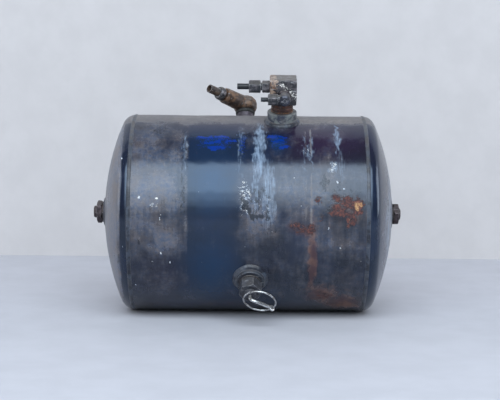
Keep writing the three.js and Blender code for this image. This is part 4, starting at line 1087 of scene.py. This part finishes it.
# ---- Inner pieces that stay as the frame has them ------------------------------------------
CARRIED = {
    "bright_steel": ["manifold_retaining_ring", "elbow_retaining_ring", "drain_spring",
                     "drain_spring_retainer"],
    "black_rubber": ["manifold_o_ring", "front_elbow_o_ring", "drain_valve_disc"],
    "copper_seal": ["left_plug_seal", "right_plug_seal"],
    "brass_ferrule": ["upper_ferrule", "front_ferrule"],
}
for slot, names in CARRIED.items():
    for name in names:
        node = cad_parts[name]
        node.data.materials.clear()
        node.data.materials.append(AGED["drain_washer"] if slot == "copper_seal" else FINISHES[slot])


# ---- Floor, backdrop, light and camera ------------------------------------------------------
def stage_sheet(name, corners, tone, open_behind=False):
    """A plain four-cornered surface for the set, with faint mottling in its colour. open_behind lets it
    be looked through from its back."""
    mesh = bpy.data.meshes.new(name)
    mesh.from_pydata(corners, [], [(0, 1, 2, 3)])
    mesh.update()
    obj = bpy.data.objects.new(name, mesh)
    bpy.context.scene.collection.objects.link(obj)
    f = Finish(name + "_paint", sheen=0.3)
    darker = (*(0.94 * c for c in tone[:3]), 1.0)
    soft = f.blend(f.span(f.cloud(60, 4), 0.3, 0.7), tone, darker)
    mesh.materials.append(f.done(soft, 0.65, f.cloud(2, 2), 0.02))
    if open_behind:
        clear = f.add("ShaderNodeBsdfTransparent").outputs[0]
        either = f.add("ShaderNodeMixShader")
        f.feed(either.inputs[0], f.add("ShaderNodeNewGeometry").outputs["Backfacing"])
        f.feed(either.inputs[1], f.shader.outputs[0])
        f.feed(either.inputs[2], clear)
        f.feed(f.tree.nodes["Material Output"].inputs["Surface"], either.outputs[0])


FLOOR_REACH = 7
WALL_Y = 0.535
WALL_REACH = 4
WALL_TOP = 3
floor_corners = [(FLOOR_REACH * x, FLOOR_REACH * y, 0) for x, y in ((-1, -1), (1, -1), (1, 1), (-1, 1))]
wall_corners = [(WALL_REACH * x, WALL_Y, WALL_TOP * z) for x, z in ((-1, 0), (1, 0), (1, 1), (-1, 1))]
stage_sheet("floor", floor_corners, colour(190, 190, 198))
stage_sheet("backdrop", wall_corners, colour(197, 193, 194), open_behind=True)


def soft_light(name, place, aim, size, power, tint):
    """A rectangular lamp at place that faces aim."""
    lamp = bpy.data.lights.new(name, "AREA")
    lamp.shape = "RECTANGLE"
    lamp.size, lamp.size_y = size
    lamp.energy = power
    lamp.color = tint
    obj = bpy.data.objects.new(name, lamp)
    bpy.context.scene.collection.objects.link(obj)
    obj.location = place
    obj.rotation_euler = (Vector(aim) - Vector(place)).to_track_quat("-Z", "Y").to_euler()
    return obj


# The front lamps stand on a circle round the tank's axis. Each spans two elevations, in degrees, and
# has its own brightness, so that together they fade downwards.
TANK_MIDDLE = Vector((0, 0, 0.138))
LAMP_DISTANCE = 3
LAMP_WIDTH = 4.4
for low, high, bright in ((28, 63.5, 4.9), (20, 28, 2.9), (11, 20, 1.8), (-2, 11, 0.5)):
    middle = math.radians((low + high) / 2)
    tall = 2 * LAMP_DISTANCE * math.tan(math.radians((high - low) / 2))
    place = TANK_MIDDLE + LAMP_DISTANCE * Vector((0, -math.cos(middle), math.sin(middle)))
    lamp = soft_light(f"front_{high:.0f}", place, TANK_MIDDLE, (LAMP_WIDTH, tall),
                      bright * math.pi * LAMP_WIDTH * tall, (0.83, 0.93, 1.0))
    lamp.visible_camera = False
soft_light("left_window", (-2.3, 0.15, 0.7), (-0.2, 0, 0.15), (1.2, 1.2), 14, (0.95, 0.97, 1.0))
soft_light("right_window", (2.3, 0.25, 0.7), (0.2, 0, 0.15), (1.2, 1.2), 16, (0.95, 0.97, 1.0))
world = bpy.data.worlds.new("room")
world.use_nodes = True
world.node_tree.nodes["Background"].inputs["Color"].default_value = (0.80, 0.86, 0.95, 1)
world.node_tree.nodes["Background"].inputs["Strength"].default_value = 0.16
scene = bpy.context.scene
scene.world = world
scene.view_settings.view_transform = "Standard"

CAMERA_DISTANCE = 1.932
CAMERA_RISE = math.radians(6)
CAMERA_ROLL = math.radians(0.5)
FOCAL_LENGTH = 98
SENSOR_WIDTH = 36
lens = bpy.data.cameras.new("camera")
lens.lens = FOCAL_LENGTH
lens.sensor_width = SENSOR_WIDTH
lens.shift_x = 0.0032
lens.shift_y = 0.0252
camera = bpy.data.objects.new("camera", lens)
scene.collection.objects.link(camera)
to_camera = Vector((0, -math.cos(CAMERA_RISE), math.sin(CAMERA_RISE)))
camera.location = TANK_MIDDLE + CAMERA_DISTANCE * to_camera
camera.rotation_euler = (TANK_MIDDLE - camera.location).to_track_quat("-Z", "Y").to_euler()
camera.rotation_euler.rotate_axis("Z", CAMERA_ROLL)
scene.camera = camera
